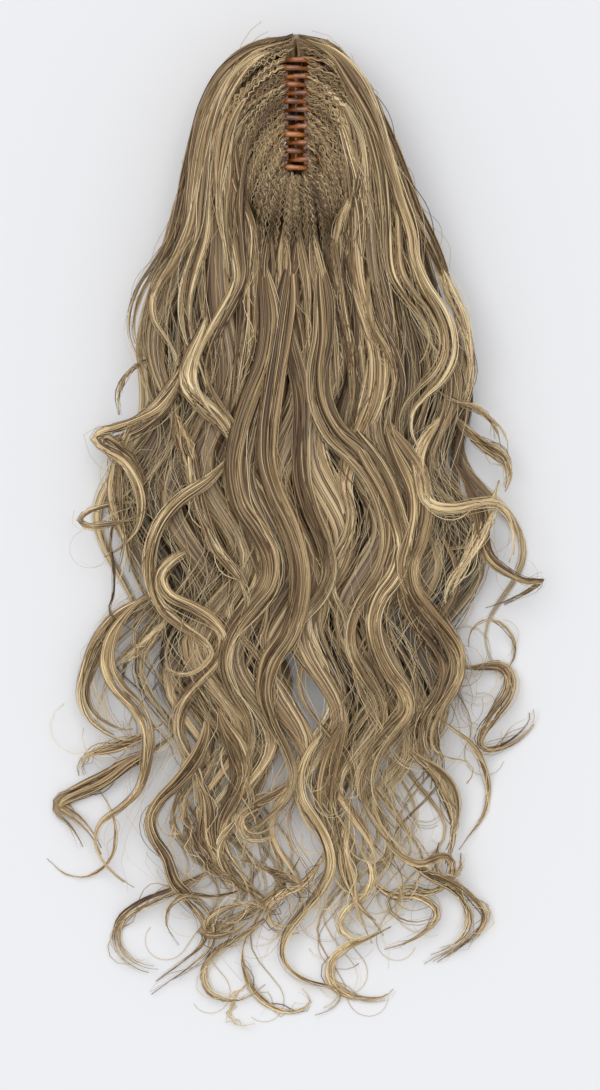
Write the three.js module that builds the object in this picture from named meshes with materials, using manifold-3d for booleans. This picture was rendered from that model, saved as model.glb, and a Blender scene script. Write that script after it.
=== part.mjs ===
// A jaw-clip hairpiece of long wavy hair, lying on its outer side with the clip's teeth up.
// Two toothed jaws turn on a steel pin. Hair is sewn to both jaws in wefts: smooth cover hair that
// parts at the crown, crimped fill beside the teeth, and long falls below and behind the clip.
// Millimetres, +Z up from the surface it lies on, +Y from the tips to the crown, +X to the right.
import * as THREE from 'three';
import { mergeVertices } from 'three/addons/utils/BufferGeometryUtils.js';
import Module from 'manifold-3d';

const wasm = await Module();
wasm.setup();

// Overall sizes of the hair. Shares in the tables below are of these.
const hairLength = 590; // from the first tooth to the longest tip
const hairSpread = 150; // from the centre line to the widest curl
const moundHeight = 46; // top of the hair beside the clip
const floorLayer = 12; // depth of the hair that lies under the rest, at the clip
const floorLayerEnd = 4.5; // the same at the tips
const moundLayers = 2.6; // top of the hair at the tips, in floor layers
const layerGap = 0.8; // between the floor layer and what lies on it
const seam = 0.4; // clearance between pieces that are sewn or seated together

// Waves of the hair.
const waveLong = 150; // wave length at the crown
const waveShort = 78; // wave length at the tips
const waveSize = 13; // sideways swing of a full wave
const waveLift = 3; // up and down swing of a full wave
const wavesStart = 0.16; // how far down the waves start, as a share of hairLength
const stationsPerWave = 5.4; // sections along a lock, for each of its waves
const lockWidth = 21;
const tipWidth = 0.22; // a lock's width at its tip, as a share of its full width
const tipThickness = 0.6; // its thickness there, as a share of the layer's
const coverRoot = 0.4; // cover lock's width at its root, as a share of its full width
const sewnRoot = 0.5; // the same for the other locks
const partingHalf = 2.4; // cover lock's root from the parting line
const crownGap = 1.6; // cover hair above the jaw's top end
const crownArch = 2.2; // how much higher the cover hair is at the parting than at the jaw's side
const curlRadius = 13; // at the tips
const curlSteps = 4;
const tipShare = 0.1; // share of a lock's taper that is left to its turned tip

// The clip.
const jawLength = 76;
const jawWall = 2.6;
const jawRise = 2; // jaw above the first tooth
const hingeHeight = 17;
const clawWidth = 33; // across both jaws, outside
const clawHeight = 29; // from the hinge to the top of the teeth
const toothCount = 7; // on each jaw
const toothPitch = 10; // between teeth of one jaw
const toothWidth = 4.2;
const toothWall = 3;
const toothSlant = 1.5; // how far a tooth's tip leans towards the hair's tips
const jawLean = 6; // how far the right jaw stands off at its lower end, at the teeth
const tabWidth = 34; // finger tab, along the jaw
const tabReach = 19; // finger tab's end, from the centre line
const tabFoot = 1.5; // finger tab's end above the surface
const barrelRadius = 3.6;
const pinRadius = 1.2;
const pinClearance = 0.35;
const barrelLength = 10;
const barrelGap = 0.5; // between neighbouring barrels
const springWire = 1.1;
const springTurns = 4;

// The wefts' sewn bands and the crimped fill.
const bandWall = 2;
const bandOverhang = 5; // band above the jaw's top end
const apronReach = 16; // net that spreads from the jaw to the surface, out from the jaw
const barHeight = 12; // bar that the centre fall is sewn along
const crimpInner = 11.5; // crimped fill's inner edge, from the centre line
const crimpWidth = 25; // out from its inner edge
const crimpTaper = 0.5; // its width at its top end, as a share of its full width
const crimpStart = 7; // its top end below the first tooth
const crimpStraight = 0.6; // share of it that runs beside the teeth
const crimpFoot = 10; // its foot above the hinge
const crimpRib = 1.6; // depth of its ribs
const crimpRows = 11; // ribs from its top end to the centre line

const materials = {
  jaw: new THREE.MeshStandardMaterial({ color: 0x8a3c0c, roughness: 0.22, metalness: 0 }),
  steel: new THREE.MeshStandardMaterial({ color: 0x9a9a98, roughness: 0.35, metalness: 1 }),
  hair: new THREE.MeshStandardMaterial({ color: 0xa08660, roughness: 0.55, metalness: 0 }),
  crimp: new THREE.MeshStandardMaterial({ color: 0x86704f, roughness: 0.7, metalness: 0 }),
};

// Solids from closed surfaces, and back.
function solidOf(geometry) {
  const bare = geometry.clone();
  bare.deleteAttribute('normal');
  bare.deleteAttribute('uv');
  const merged = mergeVertices(bare, 1e-4);
  const points = merged.attributes.position.array;
  const faces = merged.index.array;
  const made = new wasm.Manifold(
    new wasm.Mesh({ numProp: 3, vertProperties: points, triVerts: new Uint32Array(faces) }),
  );
  if (made.volume() > 0) return made;
  const turned = Uint32Array.from(faces, (v, i) => faces[i - (i % 3) + [0, 2, 1][i % 3]]);
  return new wasm.Manifold(new wasm.Mesh({ numProp: 3, vertProperties: points, triVerts: turned }));
}

function joined(solids) {
  return solids.reduce((all, one) => all.add(one));
}

// The largest body of a solid, without slivers that a cut left loose.
function mainBody(solid) {
  return solid.decompose().reduce((best, one) => (one.volume() > best.volume() ? one : best));
}

function meshOf(name, solid, material) {
  const { vertProperties, triVerts } = solid.getMesh();
  const geometry = new THREE.BufferGeometry();
  geometry.setAttribute('position', new THREE.BufferAttribute(vertProperties, 3));
  geometry.setIndex(new THREE.BufferAttribute(triVerts, 1));
  geometry.computeVertexNormals();
  const mesh = new THREE.Mesh(geometry, material);
  mesh.name = name;
  return mesh;
}

// A closed surface through rings of equal point counts.
function loft(rings) {
  const around = rings[0].length;
  const points = rings.flat().flatMap((p) => [p.x, p.y, p.z]);
  const index = [];
  for (let r = 0; r + 1 < rings.length; r++) {
    for (let k = 0; k < around; k++) {
      const a = r * around + k;
      const b = r * around + ((k + 1) % around);
      index.push(a, b, a + around, b, b + around, a + around);
    }
  }
  const last = (rings.length - 1) * around;
  for (let k = 1; k + 1 < around; k++) {
    index.push(0, k + 1, k);
    index.push(last, last + k, last + k + 1);
  }
  const geometry = new THREE.BufferGeometry();
  geometry.setAttribute('position', new THREE.Float32BufferAttribute(points, 3));
  geometry.setIndex(index);
  return geometry;
}

function cylinderAlongY(radius, yLow, yHigh, sides) {
  const bar = new THREE.CylinderGeometry(radius, radius, yHigh - yLow, sides);
  bar.translate(0, (yHigh + yLow) / 2, hingeHeight);
  return bar;
}

const mix = (a, b, t) => a + (b - a) * t;
const smooth = (low, high, v) => THREE.MathUtils.smoothstep(v, low, high);

// The clip. A jaw's section is a curve of shares of the claw's half width and height, from the hinge
// up the back to the teeth's tips.
const jawSection = [
  { out: 0.26, up: 0.0 },
  { out: 0.62, up: 0.04 },
  { out: 0.95, up: 0.3 },
  { out: 0.97, up: 0.58 },
];
const toothSection = [
  { out: 0.97, up: 0.54, width: 1.5 },
  { out: 0.84, up: 0.76, width: 1.25 },
  { out: 0.46, up: 0.92, width: 1.05 },
  { out: 0.02, up: 0.965, width: 1.0 },
  { out: -0.34, up: 0.9, width: 0.8 },
  { out: -0.58, up: 0.74, width: 0.45 },
];
const clawHalf = clawWidth / 2;
const jawTopY = jawRise;
const jawEndY = jawRise - jawLength;
const toothStart = { right: -3, left: -3 - toothPitch / 2 };

function sectionCurve(section, offset) {
  const flat = section.map((p) => new THREE.Vector3(p.out * clawHalf, 0, hingeHeight + p.up * clawHeight));
  const curve = new THREE.CatmullRomCurve3(flat);
  const steps = 9;
  return curve.getPoints(steps).map((p, i) => {
    const along = curve.getTangent(i / steps);
    return new THREE.Vector3(p.x + along.z * offset, 0, p.z - along.x * offset);
  });
}

// A wall that follows the jaw's section from one offset to another, and runs along Y.
function curvedWall(inner, outer, yHigh, yLow, from = 0, to = 9) {
  const inside = sectionCurve(jawSection, inner).slice(from, to + 1);
  const outside = sectionCurve(jawSection, outer).slice(from, to + 1).reverse();
  const outline = new THREE.Shape([...inside, ...outside].map((p) => new THREE.Vector2(p.x, p.z)));
  const wall = new THREE.ExtrudeGeometry(outline, { depth: yHigh - yLow, steps: 2, bevelEnabled: false });
  wall.rotateX(Math.PI / 2);
  wall.translate(0, yHigh, 0);
  return wall;
}

function tooth(y) {
  const path = new THREE.CatmullRomCurve3(
    toothSection.map((p, i) => {
      const share = i / (toothSection.length - 1);
      return new THREE.Vector3(p.out * clawHalf, y + mix(0.5, -0.5, share) * toothSlant, hingeHeight + p.up * clawHeight);
    }),
  );
  const stations = 6;
  const sides = 5;
  const rings = [];
  for (let i = 0; i <= stations; i++) {
    const t = i / stations;
    const at = path.getPoint(t);
    const along = path.getTangent(t);
    const across = new THREE.Vector3(-along.z, 0, along.x).normalize();
    const place = t * (toothSection.length - 1);
    const row = Math.min(Math.floor(place), toothSection.length - 2);
    const width = toothWidth * mix(toothSection[row].width, toothSection[row + 1].width, place - row);
    const wall = toothWall * mix(1, 0.6, t);
    const ring = [];
    for (let k = 0; k < sides; k++) {
      const turn = ((k + 0.5) / sides) * 2 * Math.PI;
      const p = at.clone().addScaledVector(across, (Math.cos(turn) * wall) / 2);
      p.y += (Math.sin(turn) * width) / 2;
      ring.push(p);
    }
    rings.push(ring);
  }
  return loft(rings);
}

// The right jaw stands off towards its lower end, more the higher up the jaw.
function lean(geometry, side) {
  if (side < 0) return geometry;
  const p = geometry.attributes.position;
  for (let i = 0; i < p.count; i++) {
    const down = (jawTopY - p.getY(i)) / jawLength;
    const up = (p.getZ(i) - hingeHeight) / clawHeight;
    p.setX(i, p.getX(i) + jawLean * Math.max(down, 0) * Math.max(up, 0));
  }
  return geometry;
}

// Parts are drawn on the right and turned over for the left.
function onSide(geometry, side) {
  if (side > 0) return geometry;
  return geometry.scale(-1, 1, 1);
}

// Barrels along the pin: each jaw has one at either side of the spring.
const springHalf = (springTurns * springWire * 1.6) / 2 + springWire;
const hingeMiddle = (jawTopY + jawEndY) / 2;
const barrelRows = [
  { side: 1, place: hingeMiddle + springHalf + barrelGap },
  { side: -1, place: hingeMiddle + springHalf + 2 * barrelGap + barrelLength },
  { side: 1, place: hingeMiddle - springHalf - 2 * barrelGap - 2 * barrelLength },
  { side: -1, place: hingeMiddle - springHalf - barrelGap - barrelLength },
];

function fingerTab() {
  const root = { x: barrelRadius + 0.6, z: hingeHeight + 1 };
  const outline = new THREE.Shape();
  outline.moveTo(root.x, root.z);
  outline.quadraticCurveTo(root.x + 2, tabFoot + 5, tabReach, tabFoot);
  outline.lineTo(tabReach + jawWall, tabFoot + 1);
  outline.quadraticCurveTo(root.x + 2 + jawWall, tabFoot + 9, root.x + jawWall + 2, root.z);
  const tab = new THREE.ExtrudeGeometry(outline, { depth: tabWidth, curveSegments: 5, bevelEnabled: false });
  tab.rotateX(Math.PI / 2);
  tab.translate(0, hingeMiddle + tabWidth / 2, 0);
  return tab;
}

function jaw(side) {
  const first = side > 0 ? toothStart.right : toothStart.left;
  const shapes = [curvedWall(-jawWall / 2, jawWall / 2, jawTopY, jawEndY), fingerTab()];
  for (let k = 0; k < toothCount; k++) shapes.push(tooth(first - k * toothPitch));
  const parts = shapes.map((shape) => solidOf(onSide(lean(shape, side), side)));
  const bridge = new THREE.BoxGeometry(barrelRadius + 1.5, barrelLength, jawWall);
  for (const row of barrelRows.filter((r) => r.side === side)) {
    parts.push(solidOf(cylinderAlongY(barrelRadius, row.place, row.place + barrelLength, 12)));
    const web = bridge.clone().translate((side * (barrelRadius + 1.5)) / 2, row.place + barrelLength / 2, hingeHeight);
    parts.push(solidOf(web));
  }
  const bore = solidOf(cylinderAlongY(pinRadius + pinClearance, jawEndY, jawTopY, 12));
  return joined(parts).subtract(bore);
}

function hingePin() {
  const ends = barrelRows.map((row) => row.place);
  const overhang = 0.8;
  const low = Math.min(...ends) - overhang;
  const high = Math.max(...ends) + barrelLength + overhang;
  return solidOf(cylinderAlongY(pinRadius, low, high, 12));
}

// A torsion spring: a few turns round the pin between the barrels, with a leg against each jaw.
function spring() {
  const coil = pinRadius + pinClearance + springWire / 2;
  const perTurn = 7;
  const steps = springTurns * perTurn;
  const legReach = barrelRadius + 1.6 - coil;
  const points = [new THREE.Vector3(coil, hingeMiddle - springHalf + springWire, hingeHeight + legReach)];
  for (let i = 0; i <= steps; i++) {
    const turn = (i / perTurn) * 2 * Math.PI;
    const y = hingeMiddle + mix(-1, 1, i / steps) * (springHalf - springWire);
    points.push(new THREE.Vector3(coil * Math.cos(turn), y, hingeHeight - coil * Math.sin(turn)));
  }
  points.push(new THREE.Vector3(coil, hingeMiddle + springHalf - springWire, hingeHeight - legReach));
  const path = new THREE.CurvePath();
  for (let i = 0; i + 1 < points.length; i++) path.add(new THREE.LineCurve3(points[i], points[i + 1]));
  const rings = points.map((p, i) => {
    const along = points[Math.min(i + 1, points.length - 1)].clone().sub(points[Math.max(i - 1, 0)]).normalize();
    const out = new THREE.Vector3(p.x, 0, p.z - hingeHeight).projectOnPlane(along).normalize();
    const side = new THREE.Vector3().crossVectors(along, out);
    return Array.from({ length: 4 }, (_, k) => {
      const turn = (k / 4) * 2 * Math.PI;
      return p
        .clone()
        .addScaledVector(out, (Math.cos(turn) * springWire) / 2)
        .addScaledVector(side, (Math.sin(turn) * springWire) / 2);
    });
  });
  return solidOf(loft(rings));
}

// Hair. The top of the mound, and the floor layer's top, at a share of the length down the hair.
function moundAt(down) {
  return mix(moundHeight, floorLayerEnd * moundLayers, smooth(0.3, 1, down));
}
function floorTopAt(down) {
  return mix(floorLayer, floorLayerEnd, smooth(0.1, 0.9, down));
}
function lockThickness(down) {
  return mix(floorLayer - 1, floorLayerEnd - 1.2, smooth(0.05, 0.85, down));
}

// Waves counted from the crown, while their length shrinks evenly from waveLong to waveShort.
const waveDrop = waveLong - waveShort;
function wavesAt(down) {
  return (hairLength / waveDrop) * Math.log(waveLong / (waveLong - waveDrop * down));
}

// Stations down a lock where its lane is given, as shares of its reach.
const laneStations = [0.3, 0.5, 0.7, 0.85, 1];

// Each lock: its root as a share along what it is sewn to, its shoulder, then its lane at the
// stations above. Across values are shares of hairSpread and down values of hairLength. lift runs
// from 0, lying on the layer below, to 1, at the top of the mound. width is in shares of lockWidth,
// and curl is how far its tip turns round, in turns.
const lockColumns = [
  'weft', 'root', 'shoulderX', 'shoulderY',
  'x1', 'x2', 'x3', 'x4', 'x5', 'reach', 'lift', 'phase', 'swing', 'width', 'curl',
];
const lockRows = [
  ['curtain_left', 0, -0.36, 0.09, -0.55, -0.64, -0.76, -0.83, -0.68, 0.84, 0.0, 0.68, 1.0, 1.15, -0.5],
  ['curtain_left', 0, -0.37, 0.08, -0.5, -0.54, -0.61, -0.66, -0.62, 0.88, 0.35, 0.8, 1.1, 1.25, 0.4],
  ['curtain_left', 0, -0.35, 0.07, -0.42, -0.46, -0.48, -0.52, -0.5, 0.85, 0.7, 0.74, 1.0, 1.15, -0.45],
  ['curtain_left', 0, -0.3, 0.06, -0.33, -0.33, -0.37, -0.37, -0.42, 0.9, 1.0, 0.92, 1.0, 1.1, -0.4],
  ['curtain_left', 0, -0.38, 0.09, -0.42, -0.56, -0.62, -0.67, -0.72, 0.5, 0.6, 0.6, 1.4, 0.95, -0.7],
  ['curtain_right', 0, 0.37, 0.09, 0.57, 0.71, 0.74, 0.68, 0.64, 0.84, 0.0, 0.9, 1.0, 1.15, 0.5],
  ['curtain_right', 0, 0.38, 0.08, 0.52, 0.6, 0.62, 0.57, 0.56, 0.87, 0.35, 0.04, 1.0, 1.25, 0.4],
  ['curtain_right', 0, 0.36, 0.07, 0.46, 0.52, 0.51, 0.49, 0.47, 0.9, 0.7, 0.98, 1.1, 1.15, -0.45],
  ['curtain_right', 0, 0.31, 0.06, 0.39, 0.42, 0.43, 0.39, 0.36, 0.85, 1.0, 0.14, 0.9, 1.1, 0.4],
  ['curtain_right', 0, 0.39, 0.09, 0.43, 0.57, 0.68, 0.74, 0.78, 0.53, 0.6, 0.92, 1.4, 0.95, 0.7],
  ['fall_centre', -0.8, -0.12, 0.2, -0.23, -0.24, -0.27, -0.28, -0.3, 0.88, 0.8, 0.82, 0.9, 1.0, -0.4],
  ['fall_centre', -0.4, -0.06, 0.2, -0.11, -0.13, -0.17, -0.17, -0.2, 0.85, 1.0, 0.9, 0.9, 1.05, 0.4],
  ['fall_centre', 0, 0, 0.2, 0.01, -0.01, -0.04, -0.03, -0.05, 0.92, 1.0, 0.84, 0.8, 1.05, -0.45],
  ['fall_centre', 0.4, 0.06, 0.2, 0.12, 0.12, 0.11, 0.09, 0.08, 0.86, 1.0, 0.02, 0.9, 1.05, 0.4],
  ['fall_centre', 0.8, 0.13, 0.2, 0.24, 0.27, 0.27, 0.25, 0.24, 0.9, 0.8, 0.1, 0.9, 1.0, 0.45],
  ['fall_left', 0.12, -0.33, 0.12, -0.55, -0.65, -0.7, -0.7, -0.62, 0.86, 0.0, 0.75, 1.1, 1.5, 0.5],
  ['fall_left', 0.38, -0.29, 0.13, -0.41, -0.48, -0.51, -0.5, -0.46, 0.92, 0.0, 0.88, 1.0, 1.5, -0.5],
  ['fall_left', 0.65, -0.23, 0.15, -0.27, -0.31, -0.33, -0.31, -0.28, 0.95, 0.0, 0.0, 1.0, 1.5, -0.5],
  ['fall_left', 0.92, -0.16, 0.17, -0.12, -0.13, -0.14, -0.13, -0.11, 0.96, 0.0, 0.05, 0.8, 1.4, -0.45],
  ['fall_right', 0.12, 0.33, 0.12, 0.57, 0.71, 0.75, 0.72, 0.64, 0.84, 0.0, 0.95, 1.1, 1.5, 0.5],
  ['fall_right', 0.38, 0.29, 0.13, 0.43, 0.54, 0.56, 0.53, 0.5, 0.9, 0.0, 0.08, 1.0, 1.5, 0.5],
  ['fall_right', 0.65, 0.24, 0.15, 0.29, 0.37, 0.38, 0.36, 0.31, 0.93, 0.0, 0.18, 1.0, 1.5, -0.5],
  ['fall_right', 0.92, 0.17, 0.17, 0.13, 0.17, 0.18, 0.17, 0.14, 0.97, 0.0, 0.12, 0.8, 1.4, 0.45],
];
const locks = lockRows.map((row) => Object.fromEntries(row.map((value, i) => [lockColumns[i], value])));

// Each kind of weft. rootLow and rootHigh are the lowest and the highest lock's height at the root,
// and risen is how far down the hair a lock has its own height.
const cover = { rootLow: 3, rootHigh: 34, risen: 0.1 };
const floor = { rootLow: 0, rootHigh: 0, risen: 0.1 };
const centre = { rootLow: hingeHeight, rootHigh: hingeHeight, risen: 0.34 };
const weftKinds = {
  curtain_left: cover,
  curtain_right: cover,
  fall_left: floor,
  fall_right: floor,
  fall_centre: centre,
};
const fullSection = [
  { across: -0.5, up: 0 },
  { across: 0.5, up: 0 },
  { across: 0.28, up: 1 },
  { across: -0.28, up: 1 },
];
const floorSection = [
  { across: -0.5, up: 0 },
  { across: 0.5, up: 0 },
  { across: 0, up: 1 },
];

// Where a lock leaves its weft, and how cover hair goes round the jaw's top end.
function rootsOf(lock) {
  const kind = weftKinds[lock.weft];
  const side = Math.sign(lock.shoulderX);
  const height = mix(kind.rootLow, kind.rootHigh, lock.lift);
  if (kind === floor) {
    const x = side * (clawHalf + apronReach * 0.8);
    return [new THREE.Vector3(x, jawTopY - lock.root * jawLength, height)];
  }
  if (kind === centre) {
    return [new THREE.Vector3(lock.root * clawHalf, jawEndY - seam - bandWall / 2, height)];
  }
  const above = jawTopY + crownGap + (coverRoot * lockWidth * lock.width) / 2;
  return [
    new THREE.Vector3(side * partingHalf, above + crownArch, height),
    new THREE.Vector3(side * clawHalf * 1.05, above, height),
  ];
}

// The lane is the line that a lock would follow if it were straight.
function laneOf(lock) {
  const kind = weftKinds[lock.weft];
  const base = (down) => (kind === floor ? 0 : floorTopAt(down) + layerGap);
  const roots = rootsOf(lock);
  const heightAt = (down) => {
    const room = kind === floor ? 0 : Math.max(moundAt(down) - base(down) - lockThickness(down), 0);
    return mix(roots[0].z, base(down) + lock.lift * room, smooth(0, kind.risen, down));
  };
  const place = (x, down) => new THREE.Vector3(x * hairSpread, -down * hairLength, heightAt(down));
  const points = [...roots, place(lock.shoulderX, lock.shoulderY)];
  laneStations.forEach((station, i) => points.push(place(lock[`x${i + 1}`], station * lock.reach)));
  return new THREE.CatmullRomCurve3(points, false, 'centripetal');
}

const downOf = (point) => Math.max(-point.y / hairLength, 0);

// Shares along a lane: a few to the shoulder, then so many to each wave.
function lockShares(lane, lock) {
  const waves = wavesAt(lock.reach) - wavesAt(wavesStart);
  const steps = Math.round(waves * stationsPerWave);
  const shares = weftKinds[lock.weft] === cover ? [0, 0.035, 0.07, 0.11, 0.16] : [0, 0.06, 0.12];
  let share = shares[shares.length - 1] + 0.03;
  for (let i = 0; i <= steps; i++) {
    const wanted = wavesAt(wavesStart) + (waves * i) / steps;
    while (share < 1 && wavesAt(downOf(lane.getPointAt(share))) < wanted) share += 0.002;
    shares.push(Math.min(share, 1));
  }
  return shares.filter((s, i) => i === 0 || s > shares[i - 1] + 0.001);
}

// A lock's stations: its lane with the waves on it, then a tip that turns round.
function lockPath(lock) {
  const lane = laneOf(lock);
  const path = lockShares(lane, lock).map((share) => {
    const at = lane.getPointAt(share);
    const along = lane.getTangentAt(share).setZ(0).normalize();
    const sideways = new THREE.Vector3(-along.y, along.x, 0);
    const down = downOf(at);
    const turn = 2 * Math.PI * (wavesAt(down) + lock.phase);
    const ramp = smooth(wavesStart, 0.48, down) * lock.swing;
    at.addScaledVector(sideways, waveSize * ramp * Math.sin(turn));
    at.addScaledVector(along, 0.2 * waveSize * ramp * Math.sin(2 * turn));
    if (weftKinds[lock.weft] !== floor) at.z += (waveLift * ramp * (1 + Math.cos(turn))) / 2;
    return { at, down, share: share * (1 - tipShare) };
  });
  const last = path[path.length - 1];
  const heading = last.at.clone().sub(path[path.length - 2].at).setZ(0).normalize();
  const step = (2 * Math.PI * curlRadius * Math.abs(lock.curl)) / curlSteps;
  let at = last.at;
  for (let i = 1; i <= curlSteps; i++) {
    const turned = heading.applyAxisAngle(new THREE.Vector3(0, 0, 1), (2 * Math.PI * lock.curl) / curlSteps);
    at = at.clone().addScaledVector(turned, step);
    path.push({ at, down: last.down, share: 1 - tipShare * (1 - i / curlSteps) });
  }
  return path;
}

function lockSolid(lock, grow = 0) {
  const path = lockPath(lock);
  const start = weftKinds[lock.weft] === cover ? coverRoot : sewnRoot;
  const section = weftKinds[lock.weft] === floor ? floorSection : fullSection;
  const rings = path.map(({ at, down, share }, i) => {
    const before = path[Math.max(i - 1, 0)].at;
    const after = path[Math.min(i + 1, path.length - 1)].at;
    const along = after.clone().sub(before).setZ(0).normalize();
    const sideways = new THREE.Vector3(-along.y, along.x, 0);
    const taper = mix(1, tipWidth, smooth(0.5, 1, share)) * mix(start, 1, smooth(0.06, 0.2, share));
    const width = lock.width * lockWidth * taper + 2 * grow;
    const thick = lockThickness(down) * mix(1, tipThickness, smooth(0.8, 1, share)) + 2 * grow;
    return section.map((p) =>
      at
        .clone()
        .addScaledVector(sideways, p.across * width)
        .setZ(at.z - grow + p.up * thick),
    );
  });
  return solidOf(loft(rings));
}

// The net that the falls are sewn to: a wall that spreads from the jaw's foot down to the surface.
function apron(side, grow) {
  const start = clawHalf * jawSection[2].out + jawWall / 2 + seam - grow;
  const wall = bandWall + 2 * grow;
  const top = hingeHeight + jawSection[2].up * clawHeight;
  const end = clawHalf + apronReach;
  const outline = new THREE.Shape();
  outline.moveTo(start, top);
  outline.quadraticCurveTo(start + 2, tabFoot + 6, end - 2 * wall, 0);
  outline.lineTo(end, 0);
  outline.lineTo(end, wall);
  outline.quadraticCurveTo(start + 2 + wall, tabFoot + 9, start + wall, top);
  const net = new THREE.ExtrudeGeometry(outline, { depth: jawLength, curveSegments: 4, bevelEnabled: false });
  net.rotateX(Math.PI / 2);
  net.translate(0, jawTopY, 0);
  return onSide(lean(net, side), side);
}

// The band that the cover hair is sewn along, and the bar below the clip's end.
function band(side, grow) {
  const inner = jawWall / 2 + seam - grow;
  const wall = curvedWall(inner, inner + bandWall + 2 * grow, jawTopY + bandOverhang, jawEndY, 6, 9);
  return onSide(lean(wall, side), side);
}
function bar(grow) {
  const depth = bandWall + 2 * grow;
  const box = new THREE.BoxGeometry(clawWidth + 2 * grow, depth, barHeight + 2 * grow);
  return box.translate(0, jawEndY - seam + grow - depth / 2, hingeHeight + barHeight / 2);
}

function weft(name, grow = 0) {
  const side = name.endsWith('left') ? -1 : 1;
  const backings = new Map([[cover, band], [floor, apron], [centre, () => bar(grow)]]);
  const backing = backings.get(weftKinds[name])(side, grow);
  const parts = locks.filter((lock) => lock.weft === name).map((lock) => lockSolid(lock, grow));
  return mainBody(joined([...parts, solidOf(backing)]));
}

// Crimped fill: a ribbed pad beside the teeth that turns below the clip's end to the centre line.
// Its section: out from its inner edge as shares of crimpWidth, and its heights, beside the jaw and
// below its end, as shares of the way from its foot to the top of the teeth. Points that are seated
// stand off the jaw's back and don't follow the taper.
const crimpSection = [
  { out: 0, seated: true, beside: 0, below: 0.32, rib: 0 },
  { out: 0, seated: true, beside: 0.47, below: 0.47, rib: 0 },
  { out: 0, seated: false, beside: 0.88, below: 0.79, rib: 0 },
  { out: 0.08, seated: false, beside: 1, below: 1, rib: 0.5 },
  { out: 0.6, seated: false, beside: 1, below: 1, rib: 1 },
  { out: 1, seated: false, beside: 0.37, below: 0.53, rib: 1 },
  { out: 0.95, seated: false, beside: 0, below: 0.32, rib: 0 },
];
const crimpSeat = clawHalf * jawSection[3].out + jawWall / 2 + bandWall + 2 * seam;
function crimp(side) {
  const turnY = jawEndY + crimpInner * 0.6;
  const low = hingeHeight + crimpFoot;
  const high = hingeHeight + clawHeight;
  const rings = [];
  for (let i = 0; i <= 2 * crimpRows; i++) {
    const share = i / (2 * crimpRows);
    const turned = Math.max(share - crimpStraight, 0) / (1 - crimpStraight);
    const turn = (turned * Math.PI) / 2;
    const y = mix(-crimpStart, turnY, Math.min(share / crimpStraight, 1));
    const outward = new THREE.Vector3(Math.cos(turn), -Math.sin(turn), 0);
    const centre = new THREE.Vector3(seam, y, 0);
    const below = smooth(0, 0.75, turned);
    const width = crimpWidth * mix(crimpTaper, 1, smooth(0, crimpStraight, share));
    const rib = (i % 2) * crimpRib;
    rings.push(
      crimpSection.map((p) => {
        const height = mix(low, high, mix(p.beside, p.below, below)) - p.rib * rib;
        const reach = (p.seated ? crimpSeat : crimpInner + p.out * width) - seam;
        return centre.clone().addScaledVector(outward, reach).setZ(height);
      }),
    );
  }
  return solidOf(onSide(lean(loft(rings), side), side));
}

const clip = { jaw_left: jaw(-1), jaw_right: jaw(1), hinge_pin: hingePin(), spring: spring() };
const hair = {};
const grown = {};
for (const name of ['fall_centre', 'fall_left', 'fall_right', 'curtain_left', 'curtain_right']) {
  hair[name] = weft(name);
  grown[name] = weft(name, seam);
}
for (const side of ['left', 'right']) {
  const curtain = hair[`curtain_${side}`].subtract(grown.fall_centre).subtract(grown[`fall_${side}`]);
  hair[`curtain_${side}`] = mainBody(curtain);
  const pad = crimp(side === 'left' ? -1 : 1);
  const cuts = [grown.fall_centre, grown[`fall_${side}`], grown[`curtain_${side}`]];
  hair[`crimp_${side}`] = mainBody(cuts.reduce((rest, cut) => rest.subtract(cut), pad));
}

const hairpiece = new THREE.Group();
for (const [name, solid] of Object.entries(clip)) {
  hairpiece.add(meshOf(name, solid, name.startsWith('jaw') ? materials.jaw : materials.steel));
}
for (const [name, solid] of Object.entries(hair)) {
  hairpiece.add(meshOf(name, solid, name.startsWith('crimp') ? materials.crimp : materials.hair));
}

// The origin is at the middle of the footprint, on the surface that the hairpiece lies on.
const extent = new THREE.Box3().setFromObject(hairpiece);
const middle = extent.getCenter(new THREE.Vector3());
hairpiece.position.set(-middle.x, -middle.y, -extent.min.z);

export default hairpiece;
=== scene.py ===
# A claw-clip hairpiece of long wavy dark blond hair, lying with the clip's teeth up.
# The frame gives every place. Hair is built as locks with strands round them. The first layers
# follow the lanes and waves of the frame's own hair solids, and the long curls lie on those.
import math
import bmesh
import bpy
import numpy as np
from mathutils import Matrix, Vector
from mathutils.bvhtree import BVHTree


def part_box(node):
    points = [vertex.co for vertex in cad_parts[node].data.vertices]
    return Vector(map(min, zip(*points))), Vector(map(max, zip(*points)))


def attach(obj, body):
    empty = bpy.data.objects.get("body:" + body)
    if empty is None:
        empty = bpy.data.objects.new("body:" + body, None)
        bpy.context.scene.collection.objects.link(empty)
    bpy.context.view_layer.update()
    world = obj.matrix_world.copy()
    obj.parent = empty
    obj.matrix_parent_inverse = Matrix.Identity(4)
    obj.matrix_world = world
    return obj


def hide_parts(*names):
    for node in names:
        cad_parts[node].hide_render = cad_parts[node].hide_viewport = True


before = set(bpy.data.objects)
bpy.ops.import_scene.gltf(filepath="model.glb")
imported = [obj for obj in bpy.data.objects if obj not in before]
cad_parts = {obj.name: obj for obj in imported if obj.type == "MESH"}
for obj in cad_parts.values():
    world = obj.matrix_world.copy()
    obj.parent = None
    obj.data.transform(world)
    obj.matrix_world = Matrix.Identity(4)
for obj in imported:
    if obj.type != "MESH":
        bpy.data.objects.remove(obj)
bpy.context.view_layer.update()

clip = {
    "jawRise": 0.002,      # jaw above the first tooth
    "jawLength": 0.076,
    "clawHalf": 0.0165,
    "bandWall": 0.002,
    "seam": 0.0004,
    "voxel": 0.0007,       # grain of the smoothed jaws
    "keep": 0.2,           # share of the smoothed jaw's faces that stays
}
pinLow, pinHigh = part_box("hinge_pin")
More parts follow.
